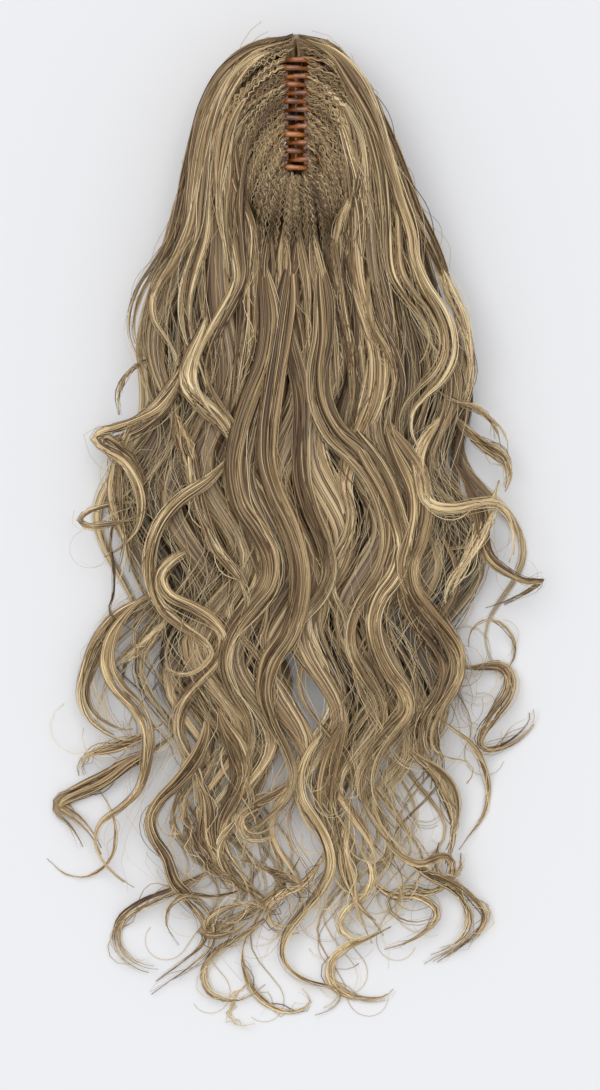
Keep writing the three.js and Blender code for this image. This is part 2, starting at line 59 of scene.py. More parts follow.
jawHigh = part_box("jaw_left")[1]
centreX = (pinLow.x + pinHigh.x) / 2
firstTooth = jawHigh.y - clip["jawRise"]
print("frame loaded, centre line at", round(centreX, 4), "first tooth at", round(firstTooth, 4))


def smooth(low, high, value):
    t = np.clip((np.asarray(value, float) - low) / (high - low), 0, 1)
    return t * t * (3 - 2 * t)


def mix(a, b, t):
    return a + (b - a) * t


# The unit direction of paths at each station, and how far along them each station is.
def alongOf(paths):
    along = np.gradient(paths, axis=-2)
    return along / np.maximum(np.linalg.norm(along, axis=-1), 1e-9)[..., None]


def runOf(paths):
    steps = np.linalg.norm(np.diff(paths, axis=-2), axis=-1)
    return np.concatenate([np.zeros((*steps.shape[:-1], 1)), steps.cumsum(axis=-1)], axis=-1)


# A path read at other places along it.
def sampled(wanted, run, path):
    return np.stack([np.interp(wanted, run, path[:, k]) for k in range(path.shape[1])], axis=1)


# A centripetal curve through points, with count stations spread evenly along it.
def curveThrough(points, count):
    p = np.asarray(points, float)
    p = np.vstack([2 * p[0] - p[1], p, 2 * p[-1] - p[-2]])
    gap = np.sqrt(np.linalg.norm(np.diff(p, axis=0), axis=1))
    t = np.linspace(0, 1, 24, endpoint=False)[:, None]
    parts = []
    for i in range(1, len(p) - 2):
        a, b, c, d = p[i - 1:i + 3]
        g0, g1, g2 = gap[i - 1:i + 2]
        m1 = ((b - a) / g0 - (c - a) / (g0 + g1) + (c - b) / g1) * g1
        m2 = ((c - b) / g1 - (d - b) / (g1 + g2) + (d - c) / g2) * g1
        parts.append((2 * t**3 - 3 * t**2 + 1) * b + (t**3 - 2 * t**2 + t) * m1
                     + (3 * t**2 - 2 * t**3) * c + (t**3 - t**2) * m2)
    dense = np.vstack(parts + [p[-2:-1]])
    run = runOf(dense)
    return sampled(np.linspace(0, run[-1], count), run, dense)


# Heights of the frame's own hair on a grid, for what lies on it.
heightGrid = {
    "cell": 0.0025,
    "halfX": 0.18,
    "top": 0.04,
    "bottom": -0.64,
    "thinnest": 0.001,     # height that counts as hair
    "spanCells": 2,        # gaps between locks up to twice this wide are bridged
    "softTurns": 3,
    "slope": 0.55,         # how steeply curls hang over the edge, and how far that goes
    "slopeCells": 26,
    "edgeCells": 9,        # how far in the painted light from the side reaches
}
hairNodes = ["curtain_left", "curtain_right", "fall_centre", "fall_left", "fall_right",
             "crimp_left", "crimp_right"]
points, faces = [], []
for name in hairNodes:
    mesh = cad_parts[name].data
    start = len(points)
    points += [vertex.co[:] for vertex in mesh.vertices]
    faces += [[start + i for i in face.vertices] for face in mesh.polygons]
hairSolids = BVHTree.FromPolygons(points, faces)
gridX = np.arange(-heightGrid["halfX"], heightGrid["halfX"], heightGrid["cell"])
gridY = np.arange(heightGrid["bottom"], heightGrid["top"], heightGrid["cell"])
solidTops = np.zeros((len(gridX), len(gridY)))
for i, x in enumerate(gridX):
    for j, y in enumerate(gridY):
        hit = hairSolids.ray_cast(Vector((x + centreX, y + firstTooth, 1)), Vector((0, 0, -1)))
        solidTops[i, j] = hit[0].z if hit[0] is not None else 0
reach = heightGrid["spanCells"]
spans = [np.roll(solidTops, step, axis) for axis in (0, 1) for step in (-reach, reach)]
draped = np.max([solidTops] + spans, axis=0)
for axis in (0, 1):
    for turn in range(heightGrid["softTurns"]):
        draped = (np.roll(draped, 1, axis) + draped * 2 + np.roll(draped, -1, axis)) / 4
# The same, sloping out past the hair's edge, for the curls that hang over it.
overEdge = draped.copy()
for turn in range(heightGrid["slopeCells"]):
    steps = [np.roll(overEdge, step, axis) - heightGrid["slope"] * heightGrid["cell"]
             for axis in (0, 1) for step in (-1, 1)]
    overEdge = np.max([overEdge] + steps, axis=0)
# Painted side light: 1 at the hair's edge, where light comes in from the side, and 0 in the middle.
inside = solidTops > heightGrid["thinnest"]
fromEdge = np.zeros(inside.shape)
for turn in range(heightGrid["edgeCells"]):
    fromEdge += inside
    for axis in (0, 1):
        inside = inside & np.roll(inside, 1, axis) & np.roll(inside, -1, axis)
paintedEdgeLight = 1 - smooth(heightGrid["edgeCells"] * 0.4, heightGrid["edgeCells"], fromEdge)
print("heights of the hair solids read")


def heightAt(grid, path):
    x = np.clip((path[..., 0] - gridX[0]) / heightGrid["cell"], 0, len(gridX) - 1.001)
    y = np.clip((path[..., 1] - gridY[0]) / heightGrid["cell"], 0, len(gridY) - 1.001)
    i, j = x.astype(int), y.astype(int)
    u, v = x - i, y - j
    low = grid[i, j] * (1 - u) + grid[i + 1, j] * u
    high = grid[i, j + 1] * (1 - u) + grid[i + 1, j + 1] * u
    return low * (1 - v) + high * v


# Painted shade: hair this far below the hair around it starts to darken, and is darkest this far
# down; the hair's edge keeps this much painted side light.
shadeDepth = {"start": 0.001, "full": 0.012, "edgeLight": 0.85}


# Painted light and shade: 1 where a path lies on top of the hair and 0 where it is deep in it and
# painted in shade.
def paintedLightOf(path, extra=0.0):
    under = heightAt(draped, path) - path[..., 2]
    fromAbove = 1 - smooth(shadeDepth["start"], shadeDepth["full"], under)
    fromSide = shadeDepth["edgeLight"] * heightAt(paintedEdgeLight, path)
    return np.clip(np.maximum(fromAbove + extra, fromSide), 0, 1)


def framesOf(paths):
    along = alongOf(paths)
    side = np.stack([-along[..., 1], along[..., 0], np.zeros(along.shape[:2])], axis=2)
    side /= np.maximum(np.linalg.norm(side, axis=2), 1e-6)[..., None]
    up = np.cross(along, side)
    up *= np.sign(up[..., 2:3] + 1e-9)
    return side, up


aboveFloor = 0.0003        # the least gap between the hair and the floor


# Closed tubes along many paths of equal stations, gathered until they are made one mesh. Each has
# a tint, a painted light from 0 in painted shade to 1 on top, and a UV map in metres around and
# along.
class HairMesh:
    def __init__(self):
        self.parts = []
        self.count = 0

    def add(self, paths, halfWidth, halfThick, sides, tint, depth, twist=0.0, swell=1.0, shift=0.0):
        paths = np.asarray(paths, float)
        n, stations = paths.shape[:2]
        side, up = framesOf(paths)
        halfWidth, halfThick, twist, depth, tint = [
            np.broadcast_to(value, (n, stations))
            for value in (halfWidth, halfThick, twist, depth, tint)]
        below = np.abs(np.cos(twist)) * halfThick + np.abs(np.sin(twist)) * halfWidth
        height = np.maximum(paths[..., 2], below + aboveFloor)
        paths = np.concatenate([paths[..., :2], height[..., None]], axis=2)
        turn = np.arange(sides) / sides * 2 * np.pi + np.pi / 2
        across = np.cos(turn) * halfWidth[..., None] * swell
        lift = np.sin(turn) * halfThick[..., None] * swell
        cosT, sinT = np.cos(twist)[..., None], np.sin(twist)[..., None]
        points = (paths[:, :, None] + side[:, :, None] * (across * cosT - lift * sinT)[..., None]
                  + up[:, :, None] * (across * sinT + lift * cosT)[..., None])
        ring, after = np.arange(sides), (np.arange(sides) + 1) % sides
        base = np.arange(n)[:, None, None] * stations + np.arange(stations - 1)[:, None]
        base = base * sides + self.count
        quads = np.stack([base + ring, base + after, base + sides + after, base + sides + ring],
                         axis=3)
        run = runOf(paths)
        shift = np.broadcast_to(shift, (n,))[:, None]
        edge = np.arange(sides + 1) / sides * 2 * np.pi * halfWidth.max(axis=1)[:, None] + shift
        u = np.stack([edge[:, :-1], edge[:, 1:], edge[:, 1:], edge[:, :-1]], axis=2)[:, None]
        v = np.stack([run[:, :-1], run[:, :-1], run[:, 1:], run[:, 1:]], axis=2)[:, :, None]
        uv = np.stack(np.broadcast_arrays(u, v), axis=4)
        first = (np.arange(n) * stations)[:, None] * sides + self.count
        last = first + (stations - 1) * sides
        ends = np.vstack([first + ring[::-1], last + ring])
        endUv = np.stack([np.tile(shift[:, 0], 2), np.zeros(2 * n)], axis=1)
        endUv = np.repeat(endUv, sides, axis=0)
        self.parts.append({
            "points": points.reshape(-1, 3),
            "corners": np.concatenate([quads.ravel(), ends.ravel()]),
            "sizes": np.concatenate([np.full(quads.size // 4, 4), np.full(2 * n, sides)]),
            "uv": np.vstack([uv.reshape(-1, 2), endUv]),
            "tint": np.repeat(tint.ravel(), sides), "depth": np.repeat(depth.ravel(), sides)})
        self.count += n * stations * sides

    # A CAD solid drawn in a little, as the inside of a piece, painted dark as shade.
    def addInside(self, node, inset, tint, depth):
        solid = bmesh.new()
        solid.from_mesh(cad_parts[node].data)
        bmesh.ops.remove_doubles(solid, verts=solid.verts, dist=1e-6)
        solid.normal_update()
        points = np.array([vertex.co - vertex.normal * inset for vertex in solid.verts])
        corners = np.array([[vertex.index for vertex in face.verts] for face in solid.faces])
        solid.free()
        uv = points[corners.ravel()][:, :2]
        self.parts.append({
            "points": points - [centreX, firstTooth, 0], "corners": corners.ravel() + self.count,
            "sizes": np.full(len(corners), 3), "uv": uv,
            "tint": np.full(len(points), tint), "depth": np.full(len(points), depth)})
        self.count += len(points)

    def build(self, name, material):
        whole = {key: np.concatenate([part[key] for part in self.parts]) for key in self.parts[0]}
        mesh = bpy.data.meshes.new(name)
        mesh.vertices.add(self.count)
        places = (whole["points"] + [centreX, firstTooth, 0]).astype(np.float32)
        mesh.vertices.foreach_set("co", places.ravel())
        mesh.loops.add(len(whole["corners"]))
        mesh.loops.foreach_set("vertex_index", whole["corners"].astype(np.int32))
        mesh.polygons.add(len(whole["sizes"]))
        starts = np.concatenate([[0], np.cumsum(whole["sizes"])[:-1]])
        mesh.polygons.foreach_set("loop_start", starts.astype(np.int32))
        mesh.update(calc_edges=True)
        uv = whole["uv"].astype(np.float32)
        mesh.uv_layers.new(name="UVMap").data.foreach_set("uv", uv.ravel())
        for label in ("tint", "depth"):
            values = mesh.attributes.new(label, "FLOAT", "POINT").data
            values.foreach_set("value", whole[label].astype(np.float32))
        mesh.validate()
        mesh.shade_smooth()
        mesh.materials.append(material)
        piece = bpy.data.objects.new(name, mesh)
        bpy.context.scene.collection.objects.link(piece)
        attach(piece, "root")
        print(name, "has", int((whole["sizes"] - 2).sum()), "triangles")
        return piece


# Shader maths as expressions.
class Shade:
    def __init__(self, socket):
        self.socket = socket
        self.tree = socket.id_data

    @staticmethod
    def node(tree, kind, settings=None, inputs=None, out=0):
        made = tree.nodes.new(kind)
        for key, value in (settings or {}).items():
            if key == "stops":
                ramp = made.color_ramp
                while len(ramp.elements) < len(value):
                    ramp.elements.new(0.5)
                for element, (place, colour) in zip(ramp.elements, value):
                    element.position = place
                    element.color = (*colour, 1)
            else:
                setattr(made, key, value)
        for key, value in (inputs or {}).items():
            if isinstance(value, Shade):
                tree.links.new(value.socket, made.inputs[key])
            else:
                made.inputs[key].default_value = value
        return Shade(made.outputs[out])

    def maths(self, kind, first, second):
        return Shade.node(self.tree, "ShaderNodeMath", {"operation": kind}, {0: first, 1: second})

    def __add__(self, other):
        return self.maths("ADD", self, other)

    __radd__ = __add__

    def __sub__(self, other):
        return self.maths("SUBTRACT", self, other)

    def __rsub__(self, other):
        return self.maths("SUBTRACT", other, self)

    def __mul__(self, other):
        return self.maths("MULTIPLY", self, other)

    __rmul__ = __mul__


def newMaterial(name):
    material = bpy.data.materials.new(name)
    material.use_nodes = True
    return material, material.node_tree, material.node_tree.nodes["Principled BSDF"]


hairFinish = {
    "stops": [
        (0.0, (0.058, 0.031, 0.015)),
        (0.3, (0.196, 0.116, 0.055)),
        (0.55, (0.500, 0.345, 0.168)),
        (0.8, (0.920, 0.710, 0.400)),
        (1.0, (1.000, 0.880, 0.600)),
    ],
    "fibre": (2100, 7, 1),     # fine streaks across and along, per metre
    "streak": (420, 5, 1),     # broad streaks
    "fibreShare": 1.9,
    "streakShare": 1.3,
    "bluerPaintedShade": 0.06,          # how much bluer the painted shade in the deep hair is
    "roughness": 0.42,
    "roughSpread": 0.2,
    "specular": 0.4,
    "bump": 0.35,
    "bumpDepth": 0.0004,
    "shadeFrom": 0.24,         # brightness of the painted shade in the deepest hair
}


def hairMaterial(name, finish):
    material, tree, shader = newMaterial(name)
    uv = Shade.node(tree, "ShaderNodeUVMap", {"uv_map": "UVMap"})
    tint = Shade.node(tree, "ShaderNodeAttribute", {"attribute_name": "tint"}, out=2)
    depth = Shade.node(tree, "ShaderNodeAttribute", {"attribute_name": "depth"}, out=2)

    def noiseOn(scale, detail):
        spread = Shade.node(tree, "ShaderNodeMapping", {}, {"Vector": uv, "Scale": scale})
        return Shade.node(tree, "ShaderNodeTexNoise", {},
                          {"Vector": spread, "Scale": 1.0, "Detail": detail})

    fibre = noiseOn(finish["fibre"], 2.0)
    streak = noiseOn(finish["streak"], 1.0)
    value = tint + (fibre - 0.5) * finish["fibreShare"] + (streak - 0.5) * finish["streakShare"]
    colour = Shade.node(tree, "ShaderNodeValToRGB", {"stops": finish["stops"]}, {"Fac": value})
    # Painted shade: the colour is multiplied darker, and a little bluer, where the hair lies deep.
    shade = depth * (1 - finish["shadeFrom"]) + finish["shadeFrom"]
    blue = shade * (1 - finish["bluerPaintedShade"]) + finish["bluerPaintedShade"]
    dim = Shade.node(tree, "ShaderNodeCombineColor", {},
                     {"Red": shade, "Green": shade, "Blue": blue})
    lit = Shade.node(tree, "ShaderNodeMix", {"data_type": "RGBA", "blend_type": "MULTIPLY"},
                     {"Factor": 1.0, 6: colour, 7: dim}, out=2)
    tree.links.new(lit.socket, shader.inputs["Base Color"])
    rough = (streak - 0.5) * finish["roughSpread"] + finish["roughness"]
    tree.links.new(rough.socket, shader.inputs["Roughness"])
    bump = Shade.node(tree, "ShaderNodeBump", {}, {
        "Strength": finish["bump"], "Distance": finish["bumpDepth"], "Height": fibre})
    tree.links.new(bump.socket, shader.inputs["Normal"])
    shader.inputs["Specular IOR Level"].default_value = finish["specular"]
    return material


wavyHair = hairMaterial("dark blond hair", hairFinish)

# Hair lanes and waves, as the frame's hair solids have them.
hair = {
    "length": 0.590,       # from the first tooth to the longest tip
    "spread": 0.150,       # from the centre line to the widest curl
    "mound": 0.046,
    "floorLayer": 0.012,
    "floorLayerEnd": 0.0045,
    "moundLayers": 2.6,
    "layerGap": 0.0008,
    "waveLong": 0.150,
    "waveShort": 0.078,
    "waveSize": 0.013,
    "waveLift": 0.003,
    "wavesStart": 0.16,
    "lockWidth": 0.021,
    "tipShare": 0.12,      # share of a lock's stations that turn round at the tip
    "tipWidth": 0.22,
    "tipThickness": 0.6,
    "coverRoot": 0.4,
    "sewnRoot": 0.5,
    "outerLane": 0.3,      # the lanes beyond this stay inside the solids, and the curls reach out
    "drawnIn": 0.9,
    "drawnInLow": 0.84,
    "rightCrown": 0.92,    # the right of the crown is the narrower side
    "partingLine": 0.0006, # from the centre line to the roots
    "crownGap": 0.0016,
    "crownArch": 0.0022,
    "apronReach": 0.016,
    "laneStations": [0.3, 0.5, 0.7, 0.85, 1],
}
kinds = {  # heights of the lowest and highest lock at the root, and how far down each has risen
    "cover": {"rootLow": 0.003, "rootHigh": 0.034, "risen": 0.1},
    "floor": {"rootLow": 0.0, "rootHigh": 0.0, "risen": 0.1},
    "centre": {"rootLow": 0.017, "rootHigh": 0.017, "risen": 0.34},
}
wefts = {
    "curtain_left": "cover", "curtain_right": "cover",
    "fall_centre": "centre",
    "fall_left": "floor", "fall_right": "floor",
}
lockColumns = ["root", "shoulderX", "shoulderY", "x1", "x2", "x3", "x4", "x5",
               "reach", "lift", "phase", "swing", "width", "curl"]
lockRows = {
    "curtain_left": [
        [0, -0.36, 0.09, -0.55, -0.64, -0.76, -0.83, -0.68, 0.84, 0.0, 0.68, 1.0, 1.15, -0.5],
        [0, -0.37, 0.08, -0.5, -0.54, -0.61, -0.66, -0.62, 0.88, 0.35, 0.8, 1.1, 1.25, 0.4],
        [0, -0.35, 0.07, -0.42, -0.46, -0.48, -0.52, -0.5, 0.85, 0.7, 0.74, 1.0, 1.15, -0.45],
        [0, -0.3, 0.06, -0.33, -0.33, -0.37, -0.37, -0.42, 0.9, 1.0, 0.92, 1.0, 1.1, -0.4],
        [0, -0.38, 0.09, -0.42, -0.56, -0.62, -0.67, -0.72, 0.5, 0.6, 0.6, 1.4, 0.95, -0.7],
    ],
    "curtain_right": [
        [0, 0.37, 0.09, 0.57, 0.71, 0.74, 0.68, 0.64, 0.84, 0.0, 0.9, 1.0, 1.15, 0.5],
        [0, 0.38, 0.08, 0.52, 0.6, 0.62, 0.57, 0.56, 0.87, 0.35, 0.04, 1.0, 1.25, 0.4],
        [0, 0.36, 0.07, 0.46, 0.52, 0.51, 0.49, 0.47, 0.9, 0.7, 0.98, 1.1, 1.15, -0.45],
        [0, 0.31, 0.06, 0.39, 0.42, 0.43, 0.39, 0.36, 0.85, 1.0, 0.14, 0.9, 1.1, 0.4],
        [0, 0.39, 0.09, 0.43, 0.57, 0.68, 0.74, 0.78, 0.53, 0.6, 0.92, 1.4, 0.95, 0.7],
    ],
    "fall_centre": [
        [-0.8, -0.12, 0.2, -0.23, -0.24, -0.27, -0.28, -0.3, 0.88, 0.8, 0.82, 0.9, 1.0, -0.4],
        [-0.4, -0.06, 0.2, -0.11, -0.13, -0.17, -0.17, -0.2, 0.85, 1.0, 0.9, 0.9, 1.05, 0.4],
        [0, 0, 0.2, 0.01, -0.01, -0.04, -0.03, -0.05, 0.92, 1.0, 0.84, 0.8, 1.05, -0.45],
        [0.4, 0.06, 0.2, 0.12, 0.12, 0.11, 0.09, 0.08, 0.86, 1.0, 0.02, 0.9, 1.05, 0.4],
        [0.8, 0.13, 0.2, 0.24, 0.27, 0.27, 0.25, 0.24, 0.9, 0.8, 0.1, 0.9, 1.0, 0.45],
    ],
    "fall_left": [
        [0.12, -0.33, 0.12, -0.55, -0.65, -0.7, -0.7, -0.62, 0.86, 0.0, 0.75, 1.1, 1.5, 0.5],
        [0.38, -0.29, 0.13, -0.41, -0.48, -0.51, -0.5, -0.46, 0.92, 0.0, 0.88, 1.0, 1.5, -0.5],
        [0.65, -0.23, 0.15, -0.27, -0.31, -0.33, -0.31, -0.28, 0.95, 0.0, 0.0, 1.0, 1.5, -0.5],
        [0.92, -0.16, 0.17, -0.12, -0.13, -0.14, -0.13, -0.11, 0.96, 0.0, 0.05, 0.8, 1.4, -0.45],
    ],
    "fall_right": [
        [0.12, 0.33, 0.12, 0.57, 0.71, 0.75, 0.72, 0.64, 0.84, 0.0, 0.95, 1.1, 1.5, 0.5],
        [0.38, 0.29, 0.13, 0.43, 0.54, 0.56, 0.53, 0.5, 0.9, 0.0, 0.08, 1.0, 1.5, 0.5],
        [0.65, 0.24, 0.15, 0.29, 0.37, 0.38, 0.36, 0.31, 0.93, 0.0, 0.18, 1.0, 1.5, -0.5],
        [0.92, 0.17, 0.17, 0.13, 0.17, 0.18, 0.17, 0.14, 0.97, 0.0, 0.12, 0.8, 1.4, 0.45],
    ],
}
locks = [{"weft": weft, **dict(zip(lockColumns, row))}
         for weft, rows in lockRows.items() for row in rows]


def moundAt(down):
    return mix(hair["mound"], hair["floorLayerEnd"] * hair["moundLayers"], smooth(0.3, 1, down))


def floorTopAt(down):
    return mix(hair["floorLayer"], hair["floorLayerEnd"], smooth(0.1, 0.9, down))


def lockThickness(down):
    return mix(hair["floorLayer"] - 0.001, hair["floorLayerEnd"] - 0.0012, smooth(0.05, 0.85, down))


def wavesAt(down):
    drop = hair["waveLong"] - hair["waveShort"]
    here = hair["waveLong"] - drop * np.minimum(down, 1.15)
    return hair["length"] / drop * np.log(hair["waveLong"] / here)


# Stations lie closer where the hair waves than on the smooth crown.
def waveStations(count):
    even = np.linspace(0, 1, 200)
    run = np.concatenate([[0], np.cumsum(mix(0.3, 1, smooth(0.15, 0.35, even[:-1])))])
    return np.interp(np.linspace(0, run[-1], count), run, even)


def laneOf(lock):
    kind = kinds[wefts[lock["weft"]]]
    onFloor = wefts[lock["weft"]] == "floor"
    side = np.sign(lock["shoulderX"])
    rootZ = mix(kind["rootLow"], kind["rootHigh"], lock["lift"])
    jawTop = clip["jawRise"]
    if onFloor:
        roots = [[side * (clip["clawHalf"] + hair["apronReach"] * 0.8),
                  jawTop - lock["root"] * clip["jawLength"], rootZ]]
    elif wefts[lock["weft"]] == "centre":
        barY = jawTop - clip["jawLength"] - clip["seam"] - clip["bandWall"] / 2
        roots = [[lock["root"] * clip["clawHalf"], barY, rootZ]]
    else:
        rootWidth = hair["coverRoot"] * hair["lockWidth"] * lock["width"]
        above = jawTop + hair["crownGap"] + rootWidth / 2
        roots = [[side * hair["partingLine"], above + hair["crownArch"], rootZ],
                 [side * clip["clawHalf"] * 1.05, above, rootZ]]

    def place(x, down):
        base = 0 if onFloor else floorTopAt(down) + hair["layerGap"]
        room = 0 if onFloor else max(moundAt(down) - base - lockThickness(down), 0)
        height = mix(rootZ, base + lock["lift"] * room, smooth(0, kind["risen"], down))
        drawn = 1
        if abs(x) > hair["outerLane"]:
            drawn = mix(hair["drawnIn"], hair["drawnInLow"], smooth(0.5, 0.75, down))
        if x > hair["outerLane"]:
            drawn = drawn * mix(hair["rightCrown"], 1, smooth(0.1, 0.4, down))
        return [x * hair["spread"] * float(drawn), -down * hair["length"], float(height)]

    points = roots + [place(lock["shoulderX"], lock["shoulderY"])]
    for i, station in enumerate(hair["laneStations"]):
        points.append(place(lock[f"x{i + 1}"], station * lock["reach"]))
    return curveThrough(points, 400)


# A path down a lane, with the waves on it and a tip that turns round. change holds what makes it
# differ from the lock's own: shift sideways, rise, phase, swing, reach, curl, radius and tipLift.
def wavyPath(lock, stations, tipStations, **change):
    lane = laneOf(lock)
    share = waveStations(stations - tipStations)
    row = share * change.get("reach", 1) * (len(lane) - 1)
    at = sampled(row, np.arange(len(lane)), lane)
    along = alongOf(at[:, :2])
    side = np.column_stack([-along[:, 1], along[:, 0], 0 * along[:, 0]])
    down = np.maximum(-at[:, 1] / hair["length"], 0)
    later = change.get("phase", 0) * smooth(0.2, 0.8, down)
    turn = 2 * np.pi * (wavesAt(down) + lock["phase"] + later)
    ramp = smooth(hair["wavesStart"], 0.48, down) * lock["swing"] * change.get("swing", 1)
    at = at + side * (hair["waveSize"] * ramp * np.sin(turn))[:, None]
    if wefts[lock["weft"]] != "floor":
        at[:, 2] += hair["waveLift"] * ramp * (1 + np.cos(turn)) / 2
    at = at + side * np.broadcast_to(change.get("shift", 0), (stations,))[:len(at), None]
    at[:, 2] += np.broadcast_to(change.get("rise", 0), (stations,))[:len(at)]
    curl, radius = change.get("curl", lock["curl"]), change.get("radius", 0.013)
    s = np.arange(1, tipStations + 1) / tipStations
    last = at[-1] - at[-2]
    heading = math.atan2(last[1], last[0]) + 2 * np.pi * curl * s**1.15
    step = 2 * np.pi * radius * abs(curl) / tipStations
    tipHeight = at[-1, 2] * (1 - 0.3 * s) + change.get("tipLift", 0) * np.sin(np.pi * s)
    tip = np.column_stack([at[-1, 0] + np.cumsum(np.cos(heading) * step),
                           at[-1, 1] + np.cumsum(np.sin(heading) * step), tipHeight])
    upTo = 1 - hair["tipShare"]
    return np.vstack([at, tip]), np.concatenate([share * upTo, upTo + hair["tipShare"] * s])


# The frame solid's own width and thickness at each station of a path.
def lockSize(lock, path, shares):
    down = np.clip(-path[:, 1] / hair["length"], 0, 1)
    start = hair["coverRoot"] if wefts[lock["weft"]] == "cover" else hair["sewnRoot"]
    taper = mix(1, hair["tipWidth"], smooth(0.5, 1, shares))
    taper = taper * mix(start, 1, smooth(0.06, 0.2, shares))
    width = lock["width"] * hair["lockWidth"] * taper
    thick = lockThickness(down) * mix(1, hair["tipThickness"], smooth(0.8, 1, shares))
    return width, thick


strand = {
    "radius": 0.00026,
    "drift": 0.0012,       # how far a strand strays from its lock
    "straying": 0.3,       # share of the strands that stray far
    "strays": (2.6, 0.8),  # how many times the drift those and the rest stray
    "tipSpread": 0.5,      # how much a lock's strands open at the tip
    "tintSpread": 0.21,
    "paleTip": 0.18,
    "paintedBendHighlight": 0.2,       # painted highlight: how much lighter a bend is than a straight run
}


# Painted highlight: bends of a wavy lock are made lighter, as if they caught the light.
def paintedHighlightOf(paths):
    turn = np.linalg.norm(np.gradient(alongOf(paths[..., :2]), axis=-2), axis=-1)
    step = np.linalg.norm(np.gradient(paths[..., :2], axis=-2), axis=-1)
    return strand["paintedBendHighlight"] * (smooth(5, 55, turn / np.maximum(step, 1e-5)) - 0.5)


# Strands round the upper side of a lock, each keeping its place in it and straying a little.
def addStrands(bag, rng, path, shares, halfWidth, halfThick, twist, count, tint, ease=1.0):
    angle = np.pi * (np.arange(count) + rng.uniform(0.0, 1.0, count)) / count
    angle = np.where(rng.random(count) < 0.9, angle, -angle)[:, None]
    angle = angle + rng.normal(0, 0.6, (count, 1)) * (shares - 0.4) + twist
    out = rng.uniform(0.9, 1.08, (count, 1))
    out = out + rng.uniform(0, strand["tipSpread"], (count, 1)) * smooth(0.6, 0.85, shares)
    sway = np.sin(2 * np.pi * (shares * rng.uniform(1, 4, (count, 1)) + rng.random((count, 1))))
    far = rng.random((count, 1)) < strand["straying"]
    stray = np.where(far, *strand["strays"]) * strand["drift"] * ease
    drift = rng.normal(0, 1, (count, 1)) * stray * sway * smooth(0.05, 0.4, shares)
    side, up = framesOf(path[None])
    paths = path + side * (np.cos(angle) * halfWidth * out + drift)[..., None]
    paths = paths + up * (np.sin(angle) * halfThick * out)[..., None]
    paths[..., 2] = np.maximum(paths[..., 2], 2 * aboveFloor)
    end = rng.uniform(0.8, 1.05, (count, 1))
    start = rng.uniform(0.0, 0.06, (count, 1))
    radius = strand["radius"] * rng.uniform(0.65, 1.35, (count, 1))
    radius = radius * mix(1, 0.12, smooth(end - 0.2, end, shares))
    radius = radius * mix(0.2, 1, smooth(start - 0.001, start + 0.03, shares))
    pale = strand["paleTip"] * smooth(0.7, 1, shares)
    # Bends get a painted highlight, and strands a little more painted light than their place gives.
    tints = tint + rng.normal(0.03, strand["tintSpread"], (count, 1)) + paintedHighlightOf(paths) + pale
    bag.add(paths, radius, radius, 3, np.clip(tints, 0.05, 1), paintedLightOf(paths, 0.1),
            shift=rng.random(count) * 50)


# Each weft: how many smaller locks lie on a core, and how many strands round each.
weftLook = {
    "cover": {"locks": 5, "strands": 6, "rise": (0.45, 1.0), "fan": 0.010, "core": 0.3},
    "centre": {"locks": 5, "strands": 6, "rise": (0.5, 1.0), "fan": 0.010, "core": 0.36},
    "floor": {"locks": 4, "strands": 4, "rise": (0.3, 0.9), "fan": 0.014, "core": 0.16},
    "stations": 61,
    "tipStations": 10,
    "rootDip": 0.004,      # how far the roots sink at the parting
    "outerLane": 0.65,     # the long locks beyond this end sooner, so the curls stand apart there
    "outerReach": 0.84,
    "paintedShadeUnderCurls": 0.28,    # painted shade: how much darker the wefts are where the long curls lie on them
}


# A dark strip under the clip in painted shade, and short fillers over it with a little painted
# shade, so that nothing shows between the curtains.
# Pairs are at the peak of the crown and where the strip or filler is widest.
parting = {
    "peak": 0.0145,        # above the first tooth
    "stations": 30,
    "strip": {
        "length": 0.134, "across": (0.001, 0.007), "height": (0.0165, 0.0045),
        "halfWidth": (0.0016, 0.010), "halfThick": (0.0015, 0.003), "tint": 0.28, "depth": 0.6,
    },
    "filler": {
        "length": 0.0125, "across": (0.0008, 0.0045), "drop": 0.004,
        "halfWidth": (0.0012, 0.0042), "halfThick": 0.0034, "tint": 0.38, "depth": 0.8,
    },
    "heights": (0.0215, 0.028, 0.0345, 0.0405),
    "level": 0.02,         # fillers above this start lower, by the slope
    "slope": 0.2,
}


def addParting(bag, side):
    strip, filler = parting["strip"], parting["filler"]
    share = np.linspace(0, 1, parting["stations"])
    wide = smooth(0, 0.12, share)
    path = np.column_stack([side * mix(*strip["across"], wide),
                            parting["peak"] - strip["length"] * share, mix(*strip["height"], wide)])
    bag.add([path], mix(*strip["halfWidth"], wide), mix(*strip["halfThick"], wide), 8,
            strip["tint"], strip["depth"])
    wide = smooth(0, 0.8, share)
    for height in parting["heights"]:
        peak = parting["peak"] - parting["slope"] * (height - parting["level"])
        path = np.column_stack([side * mix(*filler["across"], wide),
                                peak - filler["length"] * share, height - filler["drop"] * share])
        bag.add([path], mix(*filler["halfWidth"], wide), filler["halfThick"], 8,
                filler["tint"], filler["depth"])


